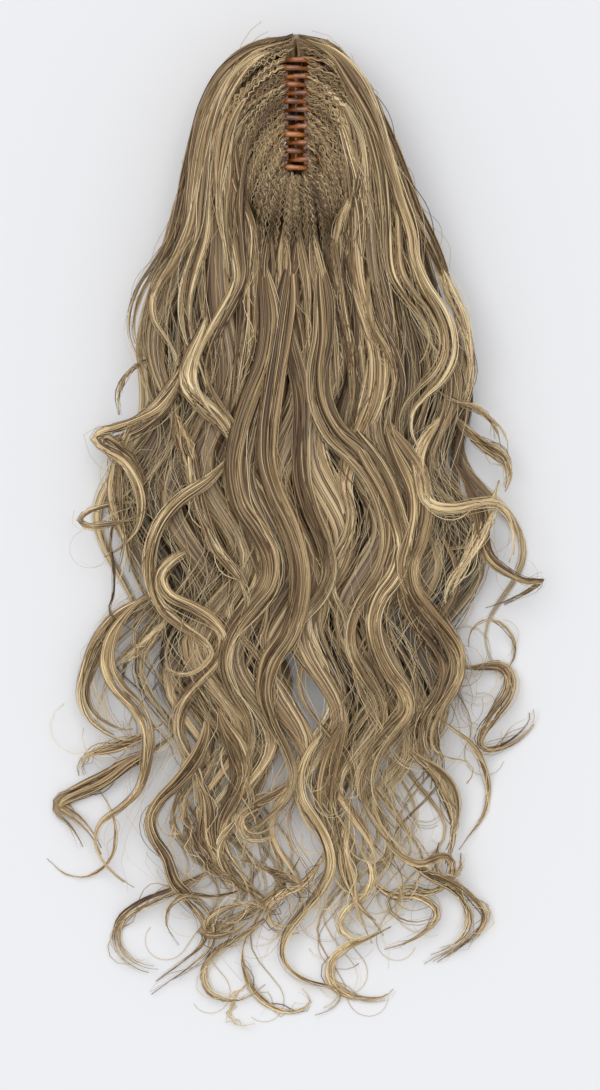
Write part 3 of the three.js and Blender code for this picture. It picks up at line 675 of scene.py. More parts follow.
def addWeft(name, seed):
    look = weftLook[wefts[name]]
    rng = np.random.default_rng(seed)
    bag = HairMesh()
    stations, tipStations = weftLook["stations"], weftLook["tipStations"]
    for lock in [row for row in locks if row["weft"] == name]:
        outer = abs(lock["x4"]) > weftLook["outerLane"] and lock["reach"] > 0.6
        cut = weftLook["outerReach"] if outer else 1
        core, shares = wavyPath(lock, stations, tipStations, reach=cut)
        width, thick = lockSize(lock, core, shares)
        thin = mix(look["core"], 0.02, smooth(0.5, 0.9, shares))
        thin = thin * mix(0.15, 1, smooth(0, 0.07, shares))
        core[:, 2] += thick / 2
        # The core is painted in more shade than its place gives, less so towards the tip, where it
        # is also paler.
        light = smooth(0.55, 0.85, shares)
        bag.add([core], [width * thin], [thick * thin], 8, 0.42 + 0.2 * light,
                paintedLightOf(core, -0.3 + 0.5 * light)[None])
        for k in range(look["locks"]):
            across = ((k + 0.5) / look["locks"] - 0.5) * 0.9 + rng.uniform(-0.06, 0.06)
            wander = 0.15 * np.sin(2 * np.pi * (shares * rng.uniform(0.8, 1.8) + rng.random()))
            wander = wander * smooth(0.05, 0.35, shares)
            fan = look["fan"] * rng.normal() * smooth(0.4, 1, shares)
            arch = 1 - 1.6 * across**2
            dip = weftLook["rootDip"] * (1 - smooth(0, 0.03, shares))
            path = wavyPath(
                lock, stations, tipStations, shift=(across + wander) * width + fan,
                rise=(rng.uniform(*look["rise"]) * arch - 0.15) * thick - dip,
                phase=rng.normal() * 0.16, swing=rng.uniform(0.75, 1.25),
                reach=rng.uniform(0.84, 0.98) * cut,
                curl=lock["curl"] * rng.uniform(0.5, 1.6) * (1 if rng.random() < 0.65 else -1),
                radius=rng.uniform(0.009, 0.018), tipLift=rng.uniform(0, 0.006))[0]
            point = mix(1, 0.07, smooth(0.42, 0.92, shares)) * mix(0.2, 1, smooth(0, 0.06, shares))
            halfWidth = np.maximum(width / look["locks"] * rng.uniform(0.6, 0.9), 0.0018) * point
            halfThick = np.maximum(thick * rng.uniform(0.16, 0.24), 0.0009) * point
            path[:, 2] = np.maximum(path[:, 2], halfThick + 2 * aboveFloor)
            down = np.maximum(-path[:, 1] / hair["length"], 0)
            twist = 0.5 * np.sin(2 * np.pi * (wavesAt(down) + rng.random()))
            twist = twist * smooth(0.2, 0.5, down)
            tint = np.clip(rng.normal(0.5, 0.14), 0.2, 0.8)
            swell = rng.uniform(0.84, 1.0, 6)
            # Tips are paler and their painted shade lifts; where the long curls lie over the wefts,
            # painted shade darkens them; bends get a painted highlight.
            pale = 0.12 * smooth(0.7, 1, shares)
            shadeUnderCurls = weftLook["paintedShadeUnderCurls"] * smooth(0.35, 0.6, down)
            bag.add([path], halfWidth, halfThick, 6, tint - 0.06 + pale + paintedHighlightOf(path),
                    paintedLightOf(path, 4 * pale - shadeUnderCurls), twist, swell, rng.random() * 9)
            addStrands(bag, rng, path, shares, halfWidth, halfThick, twist, look["strands"],
                       tint + pale)
    if wefts[name] == "floor":
        addParting(bag, -1 if name.endswith("left") else 1)
    piece = bag.build("hair_" + name, wavyHair)
    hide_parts(name)


for seed, name in enumerate(wefts):
    addWeft(name, 100 + seed)
print("wefts made")

# The long curls that lie on the wefts. Places are across and down the view from above, in units
# of 0.605 mm with the first tooth at (296, 57). rise is in mm above the hair below.
view = {"unit": 0.000605, "tooth": (296, 57), "middle": (300, 545), "high": 1090}
curlColumns = ["width", "rise", "tint", "hand", "places"]
curlRows = [
    # left side, from the floor up
    [3, 2, 0.5, 1, [(95, 790), (110, 812), (115, 840), (106, 865), (85, 880), (62, 877),
     (44, 862)]],
    [19, 1, 0.45, 1, [(172, 585), (148, 600), (118, 618), (96, 640), (84, 668), (80, 694),
     (86, 714), (102, 730), (124, 740), (138, 738)]],
    [13, 1, 0.48, -1, [(165, 722), (145, 736), (120, 746), (95, 754), (81, 763), (80, 775),
     (90, 783)]],
    [18, 2, 0.54, 1, [(175, 735), (150, 752), (128, 766), (104, 782), (78, 792), (58, 802),
     (55, 812), (70, 823), (84, 838), (93, 856), (97, 868)]],
    [12, 2, 0.56, -1, [(152, 590), (128, 612), (110, 640), (107, 668), (118, 690), (136, 708),
     (147, 730), (147, 760), (139, 792), (120, 812), (102, 824), (96, 840), (102, 858),
     (118, 875), (138, 888), (156, 898)]],
    [3, 1, 0.5, 1, [(150, 490), (130, 503), (115, 520), (110, 545), (113, 570), (113, 592),
     (108, 612), (122, 624), (142, 636)]],
    [6, 1, 0.5, 1, [(158, 488), (135, 500), (108, 505), (88, 511), (79, 519), (88, 526),
     (110, 525), (135, 517), (152, 505)]],
    [7, 1, 0.5, 1, [(165, 352), (145, 361), (128, 373), (119, 392), (119, 415)]],
    [16, 1, 0.4, -1, [(205, 700), (206, 730), (196, 758), (178, 782), (158, 802), (149, 820),
     (153, 840), (166, 862), (172, 885), (190, 905), (206, 925), (205, 945), (186, 963),
     (160, 982), (141, 996)]],
    [14, 1, 0.35, 1, [(180, 790), (186, 820), (196, 850), (216, 872), (240, 885)]],
    [9, 2, 0.5, 1, [(235, 860), (205, 875), (172, 892), (142, 905), (121, 921), (115, 942),
     (124, 961), (145, 972), (167, 973)]],
    [4, 2, 0.5, -1, [(250, 890), (215, 898), (182, 898), (168, 910), (166, 928), (178, 948)]],
    [7, 2, 0.5, 1, [(285, 905), (262, 925), (238, 941), (213, 957), (202, 976), (206, 993),
     (225, 1003), (248, 1000), (265, 988)]],
    [6, 2, 0.5, -1, [(250, 930), (242, 955), (246, 982), (260, 1004), (283, 1017), (302, 1015),
     (310, 1005), (302, 993)]],
    [3, 1, 0.5, 1, [(250, 985), (233, 1003), (229, 1018), (238, 1030), (255, 1028)]],
    [7, 1, 0.4, 1, [(255, 905), (230, 925), (205, 927), (200, 935), (215, 938), (240, 930),
     (258, 915)]],
    [14, 1, 0.6, 1, [(185, 605), (165, 622), (146, 640), (128, 657), (112, 672)]],
    [18, 1, 0.45, 1, [(215, 690), (222, 720), (236, 748), (240, 775), (230, 803), (220, 832),
     (226, 862), (246, 888), (268, 910)]],
    [18, 2, 0.48, -1, [(188, 745), (196, 775), (204, 805), (204, 838), (214, 865), (236, 882),
     (258, 900), (276, 918)]],
    [16, 1, 0.5, 1, [(215, 535), (195, 548), (172, 562), (162, 578), (170, 595), (192, 606),
     (214, 622), (223, 640), (217, 658), (198, 680), (182, 702), (176, 728), (184, 752),
     (198, 772), (200, 800), (196, 830)]],
    [20, 2, 0.55, 1, [(186, 420), (192, 455), (196, 480), (200, 505), (207, 528), (216, 548),
     (230, 565), (243, 585), (246, 610), (236, 632)]],
    [17, 3, 0.55, -1, [(240, 440), (228, 462), (208, 484), (182, 500), (164, 518), (153, 540),
     (149, 565), (151, 590), (162, 612), (182, 628), (202, 640), (212, 653), (202, 666),
     (184, 673), (169, 667), (166, 652), (176, 640)]],
    [20, 3, 0.5, 1, [(186, 340), (186, 362), (176, 388), (160, 410), (136, 424), (110, 432),
     (96, 438), (108, 447), (126, 460), (138, 480), (142, 505), (136, 530), (118, 548), (96, 557),
     (81, 551)]],
    [15, 1, 0.45, 1, [(170, 392), (178, 425), (186, 446), (196, 468), (198, 492)]],
    # left of the crown
    [15, 0, 0.45, 1, [(288, 39), (258, 46), (232, 64), (212, 94), (197, 130), (187, 170),
     (181, 205), (172, 240), (157, 266), (143, 290), (135, 315), (135, 338), (144, 358),
     (156, 376), (168, 390)]],
    [20, 1, 0.55, -1, [(286, 44), (255, 54), (230, 76), (212, 110), (201, 150), (194, 190),
     (188, 225), (174, 258), (158, 282), (151, 303), (155, 322), (168, 340), (178, 358),
     (176, 378), (164, 398)]],
    [18, 1, 0.48, 1, [(284, 50), (255, 62), (234, 86), (219, 120), (210, 160), (206, 200),
     (204, 235), (196, 265), (190, 292), (189, 318), (194, 342), (202, 365), (210, 388),
     (205, 415)]],
    [18, 2, 0.6, -1, [(212, 300), (202, 330), (191, 360), (188, 384), (203, 404), (224, 426),
     (237, 450), (238, 478), (228, 505)]],
    [20, 1, 0.55, 1, [(262, 95), (245, 130), (236, 170), (234, 210), (238, 250), (240, 280),
     (230, 305), (218, 328), (207, 352), (203, 378), (214, 402), (231, 424), (240, 448),
     (240, 470)]],
    # right side, from the floor up
    [10, 1, 0.5, 1, [(430, 385), (452, 400), (476, 409), (492, 423), (500, 440), (500, 452)]],
    [20, 2, 0.45, -1, [(446, 412), (468, 430), (490, 448), (506, 464), (510, 480), (502, 498)]],
    [14, 2, 0.45, 1, [(450, 455), (468, 485), (480, 512), (484, 540), (490, 558), (506, 572),
     (526, 581), (544, 580), (540, 586), (522, 599), (500, 611), (478, 618)]],
    [16, 2, 0.58, -1, [(500, 480), (490, 510), (478, 540), (463, 566), (450, 592), (452, 615)]],
    [14, 3, 0.62, 1, [(455, 395), (443, 415), (426, 434), (417, 456), (420, 482), (428, 502),
     (450, 507), (475, 503), (496, 503), (508, 516), (513, 536), (512, 556), (506, 574)]],
    [4, 1, 0.5, 1, [(470, 648), (472, 632), (483, 621), (499, 622), (512, 634), (517, 651),
     (512, 667), (502, 680)]],
    [12, 1, 0.42, -1, [(448, 660), (468, 668), (488, 667), (504, 667), (513, 678), (511, 694),
     (497, 712), (484, 731), (480, 747), (491, 752), (509, 747), (526, 735), (536, 721),
     (533, 708)]],
    [6, 1, 0.55, 1, [(432, 715), (455, 731), (474, 748), (486, 772), (490, 798), (483, 822),
     (469, 840), (460, 852)]],
    [20, 1, 0.5, 1, [(395, 740), (418, 758), (438, 778), (452, 802), (458, 828), (452, 852),
     (446, 870)]],
    [9, 2, 0.5, -1, [(385, 838), (405, 860), (430, 877), (452, 890), (466, 908), (469, 926),
     (459, 944), (440, 956), (420, 962)]],
    [9, 2, 0.55, 1, [(400, 855), (430, 872), (455, 884), (476, 902), (487, 920), (478, 937),
     (456, 953), (432, 968), (422, 975)]],
    [8, 1, 0.4, 1, [(440, 845), (437, 868), (446, 880), (460, 872), (462, 855)]],
    [8, 1, 0.45, -1, [(368, 850), (372, 880), (392, 898), (420, 900), (438, 915), (430, 932),
     (408, 945), (385, 952)]],
    [17, 2, 0.6, 1, [(352, 800), (346, 830), (344, 860), (348, 885), (360, 908), (376, 926),
     (386, 940)]],
    [9, 2, 0.5, -1, [(392, 930), (364, 943), (343, 952), (331, 968), (332, 986), (347, 999),
     (368, 1004), (386, 1001), (397, 988)]],
    [12, 1, 0.35, 1, [(240, 862), (262, 868), (285, 878), (305, 890), (315, 905)]],
    [18, 1, 0.5, 1, [(368, 250), (372, 290), (380, 325), (392, 352), (396, 380), (390, 408),
     (384, 435), (392, 460)]],
    # right of the crown
    [16, 0, 0.45, -1, [(302, 38), (327, 46), (350, 70), (372, 105), (390, 142), (404, 180),
     (416, 215), (433, 248), (446, 280), (453, 308), (459, 332), (465, 356), (460, 378),
     (449, 394)]],
    [20, 1, 0.5, 1, [(308, 50), (334, 66), (354, 94), (370, 130), (382, 170), (388, 210),
     (391, 245), (396, 275), (410, 298), (426, 318), (434, 340), (428, 362), (412, 382),
     (404, 402)]],
    [20, 2, 0.58, -1, [(306, 43), (332, 56), (353, 84), (372, 120), (386, 160), (398, 200),
     (410, 235), (414, 262), (424, 288), (438, 310), (446, 332), (446, 355), (436, 376),
     (418, 394), (405, 412), (404, 434), (412, 454), (420, 474)]],
    [18, 1, 0.5, 1, [(322, 95), (342, 130), (356, 170), (362, 210), (362, 250), (366, 290),
     (378, 322)]],
    # round the clip and under the crimped hair
    [20, 0, 0.52, 1, [(270, 74), (248, 94), (231, 122), (223, 160), (222, 210), (228, 260),
     (233, 305)]],
    [18, 0, 0.45, -1, [(262, 110), (246, 140), (238, 175), (236, 215), (240, 260), (240, 300)]],
    [20, 0, 0.48, -1, [(318, 78), (336, 98), (350, 128), (357, 165), (359, 210), (360, 260),
     (364, 305)]],
    [18, 0, 0.55, 1, [(326, 112), (338, 140), (346, 175), (349, 215), (350, 255), (356, 300)]],
    [18, 0, 0.48, 1, [(246, 200), (244, 250), (244, 300), (240, 350), (234, 395), (228, 430)]],
    [18, 0, 0.55, -1, [(262, 200), (258, 250), (256, 300), (252, 350), (244, 395), (238, 440)]],
    [18, 0, 0.5, 1, [(274, 202), (272, 255), (273, 305), (270, 355), (258, 400), (252, 445)]],
    [18, 0, 0.58, -1, [(286, 204), (286, 260), (284, 310), (282, 355), (280, 400), (276, 440)]],
    [18, 0, 0.46, 1, [(298, 205), (300, 260), (304, 310), (308, 360), (306, 405), (310, 445)]],
    [18, 0, 0.55, -1, [(310, 204), (314, 255), (322, 305), (330, 350), (334, 390), (338, 430)]],
    [18, 0, 0.5, 1, [(324, 202), (332, 255), (342, 305), (350, 350), (352, 395), (346, 440)]],
    [18, 0, 0.47, -1, [(338, 200), (346, 250), (356, 300), (362, 345), (362, 390), (356, 430)]],
    # coils near the tips
    [8, 1, 0.45, 1, [(300, 860), (285, 885), (262, 905), (236, 922), (213, 934), (205, 925),
     (222, 912), (250, 905), (275, 915)]],
    [12, 1, 0.5, -1, [(250, 800), (232, 828), (216, 852), (222, 876), (246, 892), (270, 908),
     (281, 928)]],
    [9, 1, 0.42, 1, [(376, 822), (392, 850), (420, 866), (448, 858), (452, 880), (432, 896),
     (405, 893), (392, 905), (410, 918), (438, 912)]],
    [14, 3, 0.6, 1, [(304, 762), (286, 788), (258, 804), (240, 820), (248, 838), (270, 836),
     (286, 818)]],
    [9, 1, 0.5, -1, [(330, 840), (318, 868), (300, 888), (280, 896), (266, 912), (272, 930),
     (296, 934), (318, 922)]],
    [8, 1, 0.45, 1, [(356, 846), (372, 872), (366, 896), (346, 912), (340, 930), (356, 942),
     (378, 934)]],
    # over the sides of the crimped hair, and along the outer edges
    [18, 1, 0.5, 1, [(240, 112), (232, 150), (238, 190), (249, 225), (252, 260), (250, 305),
     (244, 350)]],
    [18, 1, 0.5, -1, [(350, 112), (359, 150), (353, 190), (341, 225), (338, 260), (341, 305),
     (348, 350)]],
    [14, 0, 0.5, 1, [(424, 240), (440, 270), (452, 298), (463, 325), (470, 352), (471, 380),
     (463, 404), (452, 424)]],
    [14, 0, 0.5, -1, [(150, 400), (133, 425), (121, 450), (115, 480), (116, 510), (124, 540),
     (121, 570), (110, 592)]],
    # middle, from the lower to the upper
    [20, 1, 0.42, 1, [(352, 690), (342, 730), (333, 758), (328, 788), (330, 818), (338, 848),
     (344, 878), (348, 900)]],
    [18, 1, 0.45, -1, [(405, 540), (402, 565), (405, 595), (418, 622), (436, 645), (446, 668),
     (438, 694), (424, 716), (420, 740), (426, 765), (424, 790)]],
    [18, 1, 0.45, 1, [(345, 245), (355, 290), (368, 325), (376, 357), (375, 395), (364, 428),
     (352, 455), (346, 485), (352, 512), (348, 538), (335, 562), (331, 590), (342, 615),
     (348, 640)]],
    [20, 2, 0.48, -1, [(288, 300), (290, 350), (300, 400), (300, 440), (302, 480), (312, 512),
     (326, 542), (332, 572), (322, 598), (302, 620), (284, 645), (276, 668), (284, 695)]],
    [10, 2, 0.6, 1, [(340, 705), (322, 732), (306, 755), (299, 778), (302, 800), (315, 822),
     (327, 845), (330, 868), (320, 892), (301, 915), (286, 937), (283, 958), (293, 975),
     (312, 985), (332, 990), (342, 999), (332, 1013), (309, 1021)]],
    [22, 2, 0.42, 1, [(318, 240), (320, 290), (320, 335), (315, 372), (319, 404), (334, 432),
     (357, 453), (378, 480), (389, 510), (391, 540), (381, 572), (363, 598), (352, 622),
     (350, 650), (362, 676), (377, 702), (378, 730), (366, 756), (362, 785)]],
    [24, 3, 0.5, -1, [(385, 400), (388, 430), (400, 455), (414, 480), (420, 510), (416, 540),
     (408, 566), (412, 590), (428, 612), (448, 634), (461, 656), (458, 682), (442, 706),
     (430, 728), (431, 750), (448, 762), (468, 766), (473, 771), (462, 786)]],
    [22, 3, 0.46, 1, [(345, 405), (352, 430), (368, 458), (384, 486), (396, 516), (402, 546),
     (394, 574), (380, 596), (374, 620), (379, 646), (391, 670), (405, 692), (408, 712),
     (392, 732), (376, 755), (368, 785), (372, 808), (384, 828), (400, 844), (416, 858)]],
    [22, 3, 0.45, -1, [(290, 240), (288, 290), (280, 345), (271, 396), (265, 434), (264, 463),
     (272, 495), (287, 528), (297, 562), (298, 598), (288, 634), (270, 662), (265, 692),
     (274, 722), (288, 748), (296, 775), (288, 800), (266, 822), (246, 842), (243, 868),
     (258, 892), (280, 915)]],
    [24, 3, 0.47, 1, [(262, 245), (264, 280), (267, 320), (262, 360), (249, 396), (239, 434),
     (236, 468), (244, 502), (262, 530), (274, 556), (272, 584), (255, 608), (236, 634),
     (229, 662), (237, 690), (251, 716), (254, 745), (245, 775), (235, 800)]],
]
curls = [dict(zip(curlColumns, row)) for row in curlRows]
curlLook = {
    "spacing": 0.0045,     # between stations along a curl
    "flat": 0.42,          # thickness over width
    "coil": 0.0035,        # how far a curl's bends rise and fall
    "locks": 3,
    "single": 8,           # a curl up to this width is one lock
    "apart": 1.5,          # how far apart its locks lie, over half its width
    "wander": 0.3,
    "stray": 0.003,
    "fuller": 1.25,        # how much the locks overlap
    "shorter": 0.14,       # by how much of the length a lock may end sooner
    "perWidth": 1.22,      # strands for each unit of width
    "start": 0.1,          # width at the root end over the widest
    "sink": 0.009,         # how far the root end goes into the hair
    "tip": 0.14,
}


def curlPath(curl):
    toothX, toothY = view["tooth"]
    flat = [((x - toothX) * view["unit"], (toothY - y) * view["unit"]) for x, y in curl["places"]]
    length = runOf(flat)[-1]
    count = max(int(length / curlLook["spacing"]), 12)
    path = curveThrough(flat, count)
    shares = np.linspace(0, 1, count)
    width = curl["width"] * view["unit"]
    coil = curl["hand"] * curlLook["coil"] * alongOf(path)[:, 0] * smooth(-0.1, -0.2, path[:, 1])
    sink = curlLook["sink"] * (1 - smooth(0, 0.03 / length, shares)) * (flat[0][1] < -0.01)
    height = heightAt(overEdge, path) + curl["rise"] * 0.001 + coil - sink
    height = np.maximum(height, width * curlLook["flat"] / 2 + 0.0008)
    return np.column_stack([path, height]), shares, length


def addCurls(name, chosen, seed):
    rng = np.random.default_rng(seed)
    bag = HairMesh()
    for curl in chosen:
        path, shares, length = curlPath(curl)
        taper = mix(curlLook["start"], 1, smooth(0, 0.045 / length, shares))
        taper = taper * mix(1, curlLook["tip"], smooth(0.45, 1, shares))
        half = curl["width"] * view["unit"] / 2 * taper
        side, up = framesOf(path[None])
        twist = 0.7 * curl["hand"] * alongOf(path)[:, 0]
        many = curlLook["locks"] if curl["width"] > curlLook["single"] else 1
        for k in range(many):
            across = ((k + 0.5) / many - 0.5) * curlLook["apart"] + rng.uniform(-0.1, 0.1)
            wander = np.sin(2 * np.pi * (shares * rng.uniform(0.7, 1.6) + rng.random()))
            wander = curlLook["wander"] * wander * (many > 1)
            stray = rng.normal() * curlLook["stray"] * smooth(0.5, 1, shares) * (many > 1)
            lane = path + side[0] * ((across + wander) * half + stray)[:, None]
            lane = lane + up[0] * (rng.uniform(-0.15, 0.2) * half)[:, None]
            cut = shares * (1 - curlLook["shorter"] * rng.random() * (many > 1))
            lane = sampled(cut, shares, lane)
            share = curlLook["fuller"] / many if many > 1 else 1
            halfWidth, halfThick = half * share, half * curlLook["flat"] * mix(1, share, 0.4)
            swell = rng.uniform(0.84, 1.0, 6)
            tint = np.clip(curl["tint"] + rng.normal(-0.02, 0.12), 0.2, 0.8)
            # The curl's locks get a painted highlight at bends and painted shade where they lie
            # deep.
            bag.add([lane], halfWidth * 0.95, halfThick * 0.95, 6, tint - 0.06 + paintedHighlightOf(lane),
                    paintedLightOf(lane), twist, swell, rng.random() * 9)
            count = int(round(curlLook["perWidth"] * curl["width"] / many)) + 1
            addStrands(bag, rng, lane, shares, halfWidth, halfThick, twist, count, tint, 0.9)
    bag.build(name, wavyHair)


curlPieces = {  # how far across the view the middle places of a piece's curls lie
    "curls_left": (0, 200), "curls_inner": (200, 285),
    "curls_middle": (285, 375), "curls_right": (375, 600),
}
for seed, (name, (low, high)) in enumerate(curlPieces.items()):
    chosen = [curl for curl in curls if low <= curl["places"][len(curl["places"]) // 2][0] < high]
    addCurls(name, chosen, 7 + seed)
print("curls made")

# Crimped hair round the clip: short zigzag locks and strands that run out and down from the teeth
# over the pads, as far as the line where the straight hair starts.
crimp = {
    "locks": 16,
    "strands": 200,
    "wave": 0.0052,        # length of a zigzag
    "size": 0.0008,
    "halfWidth": 0.0013,
    "halfThick": 0.0007,
    "strandRadius": 0.00036,
    "inset": 0.0012,       # how far inside the frame's pad the piece's inside, painted dark as shade, lies
    "stations": 44,
    "gap": 0.0072,         # from the centre line to the hair at the teeth
    "apart": 0.3,          # share of the strands that don't keep in step with the rest
    "row": 0.070,          # length of the row of teeth
    "reachOut": 0.045,
    "firstDown": 0.026,    # from the first tooth to where the first lock ends
    "reachDown": 0.108,    # from the first tooth to the straight hair
    "top": 0.0460,         # height of the hair at the teeth
}


def crimpLanes(rng, side, count):
    u = (np.arange(count) + rng.uniform(0, 1, count)) / count * 1.35
    w = np.clip((u - 1) / 0.35, 0, 1)
    u = np.minimum(u, 1)
    overFirst = 1 - smooth(0, 0.08, u)     # the first strands lie over the parting above the teeth
    gap = crimp["gap"] * (1 - 0.9 * overFirst)
    startX = side * mix(gap, 0.0003, w) + rng.normal(0, 0.0006, count)
    startY = 0.002 + 0.005 * overFirst - u * (crimp["row"] + 0.004) - 0.002 * w
    startY = startY + rng.normal(0, 0.001, count)
    endX = side * mix(crimp["reachOut"] - 0.028 * u**1.6, 0.001, w) + rng.normal(0, 0.002, count)
    fall = (crimp["reachDown"] - crimp["firstDown"]) * (1 - (1 - u) ** 1.9)
    endY = -crimp["firstDown"] - fall + rng.normal(0, 0.011, count)
    bendX, bendY = mix(startX, endX, 0.62), mix(startY, endY, 0.22)
    t = np.linspace(0, 1, crimp["stations"])[None, :, None]
    pairs = [(startX, startY), (bendX, bendY), (endX, endY)]
    start, bend, end = [np.stack(pair, axis=1)[:, None] for pair in pairs]
    return start * (1 - t) ** 2 + 2 * bend * t * (1 - t) + end * t**2


def crimped(rng, side, count, lift):
    lanes = crimpLanes(rng, side, count)
    run, along = runOf(lanes), alongOf(lanes)
    share = np.linspace(0, 1, crimp["stations"])
    lanes = lanes + rng.normal(0, 0.0022, (count, 1, 2)) * smooth(0.1, 0.7, share)[:, None]
    apart = rng.random((count, 1)) < crimp["apart"]
    step = 0.4 * np.sin(lanes[..., 0] * 170) + 0.5 * np.sin(lanes[..., 1] * 110)
    own = rng.uniform(0.8, 1.3, (count, 1)) * run / crimp["wave"] + rng.random((count, 1))
    inStep = run / crimp["wave"] + step + rng.normal(0, 0.07, (count, 1))
    turn = 2 * np.pi * np.where(apart, own, inStep)
    size = crimp["size"] * rng.uniform(0.4, 1.5, (count, 1)) * smooth(0, 0.004, run)
    across = np.stack([-along[..., 1], along[..., 0]], axis=2)
    flat = lanes + across * (size * np.sin(turn))[..., None]
    height = mix(crimp["top"], heightAt(draped, lanes), smooth(0.15, 0.5, share)) + lift
    height = height + 0.35 * size * np.cos(turn)
    return np.concatenate([flat, height[..., None]], axis=2), share


def addCrimp(name, side, seed):
    rng = np.random.default_rng(seed)
    bag = HairMesh()
    # The inside and the zigzag locks are dark and in painted shade.
    bag.addInside(name, crimp["inset"], 0.25, 0.5)
    paths, share = crimped(rng, side, crimp["locks"], 0.0002)
    taper = mix(0.6, 1, smooth(0, 0.2, share)) * mix(1, 0.2, smooth(0.7, 1, share))
    tint = rng.normal(0.33, 0.1, (len(paths), 1))
    tint = tint + 0.1 * np.sin(paths[..., 0] * 210 + paths[..., 1] * 130)
    bag.add(paths, crimp["halfWidth"] * taper, crimp["halfThick"] * taper, 6, tint, 0.8,
            shift=rng.random(len(paths)) * 9)
    lift = rng.uniform(0.0004, 0.0016, (crimp["strands"], 1))
    paths, share = crimped(rng, side, crimp["strands"], lift)
    taper = mix(1, 0.4, smooth(0.75, 1, share))
    tint = np.clip(rng.normal(0.4, 0.17, (len(paths), 1)), 0.1, 0.95)
    radius = crimp["strandRadius"] * rng.uniform(0.6, 1.4, (len(paths), 1)) * taper
    # Painted shade: the crimped strands are darker further down from the teeth.
    low = smooth(-0.06, -0.10, paths[..., 1])
    bag.add(paths, radius, radius, 3, tint, 1 - 0.35 * low, shift=rng.random(len(paths)) * 50)
    piece = bag.build("crimped_hair_" + name.split("_")[1], wavyHair)
    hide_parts(name)


addCrimp("crimp_left", -1, 31)
addCrimp("crimp_right", 1, 32)
print("crimped hair made")

# Loose fine hairs that stray from the locks.
loose = {
    "count": 700,
    "onCurls": 0.45,       # share that stray from the long curls, and the rest from the wefts
    "stations": 22,
    "radius": 0.00015,
    "stray": 0.006,
    "longRun": 0.12,       # a shorter hair strays less
    "rise": 0.004,
}


def addLooseHair(seed):
    rng = np.random.default_rng(seed)
    bag = HairMesh()
    share = np.linspace(0, 1, loose["stations"])
    for index in range(loose["count"]):
        if rng.random() < loose["onCurls"]:
            path, shares = curlPath(curls[rng.integers(len(curls))])[:2]
        else:
            lock = locks[rng.integers(len(locks))]
            path, shares = wavyPath(lock, 80, 12, phase=rng.normal() * 0.2)
        first = rng.uniform(0, 0.5)
        span = rng.uniform(0.25, 0.5)
        at = sampled(first + span * share, shares, path)
        side = framesOf(at[None])[0][0]
        sway = 0
        for k in (1, 2, 3):
            size, pace, start = rng.normal() / k, rng.uniform(0.4, 0.9), rng.random()
            sway = sway + size * np.sin(2 * np.pi * (share * k * pace + start))
        size = loose["stray"] * min(runOf(at)[-1] / loose["longRun"], 1)
        at = at + side * (size * sway)[:, None]
        lift = heightAt(draped, at) + loose["rise"] * rng.random() * np.sin(np.pi * share)
        at[:, 2] = np.maximum(np.maximum(at[:, 2], lift * rng.uniform(0.8, 1)), 0.0008)
        radius = loose["radius"] * rng.uniform(0.7, 1.4) * mix(1, 0.4, smooth(0.6, 1, share))
        bag.add([at], radius, radius, 3, rng.uniform(0.5, 0.95), 1, shift=rng.random() * 50)
    bag.build("loose_hairs", wavyHair)


addLooseHair(61)
print("loose hairs made")

# The clip: smoothed copies of the jaws in glossy amber, and the steel pin and spring.
amber = {
    "stops": [
        (0.3, (0.080, 0.022, 0.005)),
        (0.5, (0.300, 0.085, 0.014)),
        (0.7, (0.520, 0.190, 0.045)),
    ],
    "mottle": 90,
    "roughness": 0.16,
    "coat": 0.6,
    "coatRoughness": 0.05,
}
steel = {"colour": (0.55, 0.55, 0.56), "roughness": 0.28, "roughSpread": 0.15, "grain": 900.0}


def amberMaterial():
    material, tree, shader = newMaterial("amber tortoiseshell")
    place = Shade.node(tree, "ShaderNodeTexCoord", out=3)
    mottle = Shade.node(tree, "ShaderNodeTexNoise", {},
                        {"Vector": place, "Scale": amber["mottle"], "Detail": 2.0})
    colour = Shade.node(tree, "ShaderNodeValToRGB", {"stops": amber["stops"]}, {"Fac": mottle})
    tree.links.new(colour.socket, shader.inputs["Base Color"])
    shader.inputs["Roughness"].default_value = amber["roughness"]
    shader.inputs["Coat Weight"].default_value = amber["coat"]
    shader.inputs["Coat Roughness"].default_value = amber["coatRoughness"]
    return material


def steelMaterial():
    material, tree, shader = newMaterial("bright steel")
    place = Shade.node(tree, "ShaderNodeTexCoord", out=3)
    grain = Shade.node(tree, "ShaderNodeTexNoise", {},
                       {"Vector": place, "Scale": steel["grain"], "Detail": 1.0})
    shader.inputs["Base Color"].default_value = (*steel["colour"], 1)
    shader.inputs["Metallic"].default_value = 1
    rough = (grain - 0.5) * steel["roughSpread"] + steel["roughness"]
    tree.links.new(rough.socket, shader.inputs["Roughness"])
    return material


def apply(piece, kind, **settings):
    modifier = piece.modifiers.new(kind.lower(), kind)
    for key, value in settings.items():
        setattr(modifier, key, value)
    bpy.ops.object.modifier_apply(modifier=modifier.name)


def smoothJaw(node, material):
    bpy.ops.object.select_all(action="DESELECT")
    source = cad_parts[node]
    piece = bpy.data.objects.new(node + "_moulded", source.data.copy())
    bpy.context.scene.collection.objects.link(piece)
    bpy.context.view_layer.objects.active = piece
    piece.select_set(True)
    bpy.ops.object.mode_set(mode="EDIT")
    bpy.ops.mesh.select_all(action="SELECT")
    bpy.ops.mesh.remove_doubles(threshold=1e-6)
    bpy.ops.object.mode_set(mode="OBJECT")
    apply(piece, "REMESH", mode="VOXEL", voxel_size=clip["voxel"])
    apply(piece, "SMOOTH", factor=0.5, iterations=4)
    apply(piece, "DECIMATE", ratio=clip["keep"])
    bpy.ops.object.shade_smooth()
    piece.data.materials.clear()
    piece.data.materials.append(material)
    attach(piece, "root")
    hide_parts(node)
    count = sum(len(face.vertices) - 2 for face in piece.data.polygons)
    print(piece.name, "has", count, "triangles")


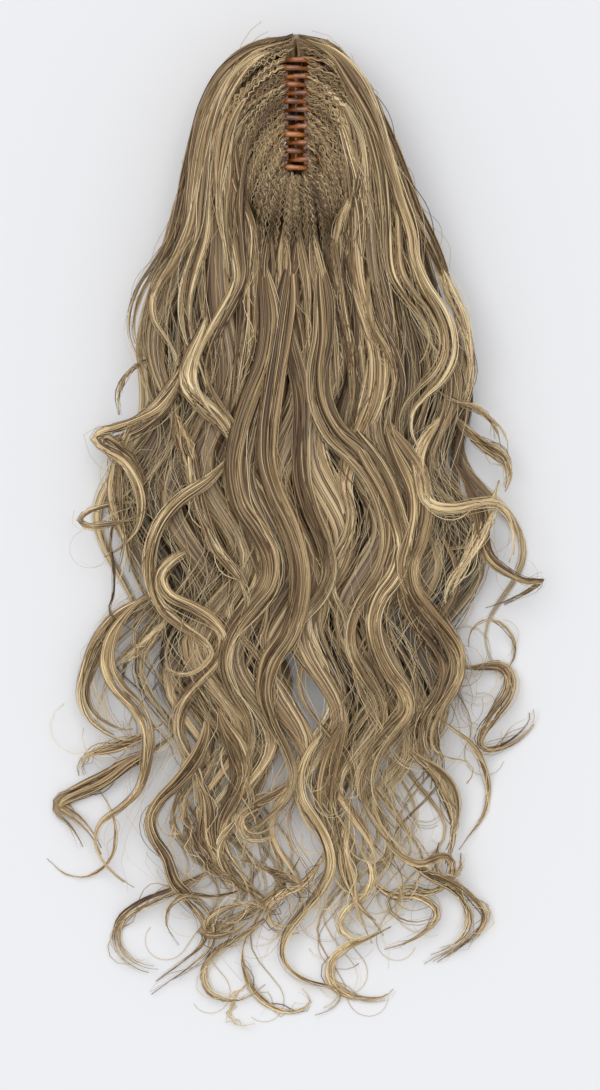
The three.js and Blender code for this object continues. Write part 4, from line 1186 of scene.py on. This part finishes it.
amberPlastic = amberMaterial()
for node in ("jaw_left", "jaw_right"):
    smoothJaw(node, amberPlastic)
brightSteel = steelMaterial()
for node in ("hinge_pin", "spring"):
    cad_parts[node].data.materials.clear()
    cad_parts[node].data.materials.append(brightSteel)
print("clip made")

# Camera, floor and light.
middle = Vector((centreX + (view["middle"][0] - view["tooth"][0]) * view["unit"],
                 firstTooth - (view["middle"][1] - view["tooth"][1]) * view["unit"], 0.03))
stage = {
    "cameraHeight": 2.6,
    "sensor": 36,
    "floor": (0.80, 0.80, 0.81),
    "floorRoughness": 0.9,
    "floorSize": 6.0,
    "sky": 0.62,
    "skyColour": (0.95, 0.97, 1.0),
    "lightStrength": 1.6,
    "lightSpread": 1.1,
    "lightFrom": (-0.14, 0.28, 1.0),
}
cameraData = bpy.data.cameras.new("camera")
cameraData.sensor_fit = "VERTICAL"
cameraData.sensor_height = stage["sensor"]
away = stage["cameraHeight"] - middle.z
cameraData.lens = stage["sensor"] * away / (view["high"] * view["unit"])
camera = bpy.data.objects.new("camera", cameraData)
camera.location = (middle.x, middle.y, stage["cameraHeight"])
bpy.context.scene.collection.objects.link(camera)
bpy.context.scene.camera = camera

bpy.ops.object.select_all(action="DESELECT")
bpy.ops.mesh.primitive_plane_add(size=stage["floorSize"], location=(0, 0, 0))
floor = bpy.context.object
floor.name = "floor"
floorMaterial, tree, shader = newMaterial("pale floor")
shader.inputs["Base Color"].default_value = (*stage["floor"], 1)
shader.inputs["Roughness"].default_value = stage["floorRoughness"]
floor.data.materials.append(floorMaterial)

world = bpy.data.worlds.new("world")
world.use_nodes = True
background = world.node_tree.nodes["Background"]
background.inputs[0].default_value = (*stage["skyColour"], 1)
background.inputs[1].default_value = stage["sky"]
bpy.context.scene.world = world
light = bpy.data.lights.new("soft light", "SUN")
light.energy = stage["lightStrength"]
light.angle = stage["lightSpread"]
lamp = bpy.data.objects.new("soft light", light)
lamp.rotation_euler = Vector(stage["lightFrom"]).to_track_quat("Z", "Y").to_euler()
bpy.context.scene.collection.objects.link(lamp)
bpy.context.scene.view_settings.view_transform = "Standard"
print("camera, floor and light made")
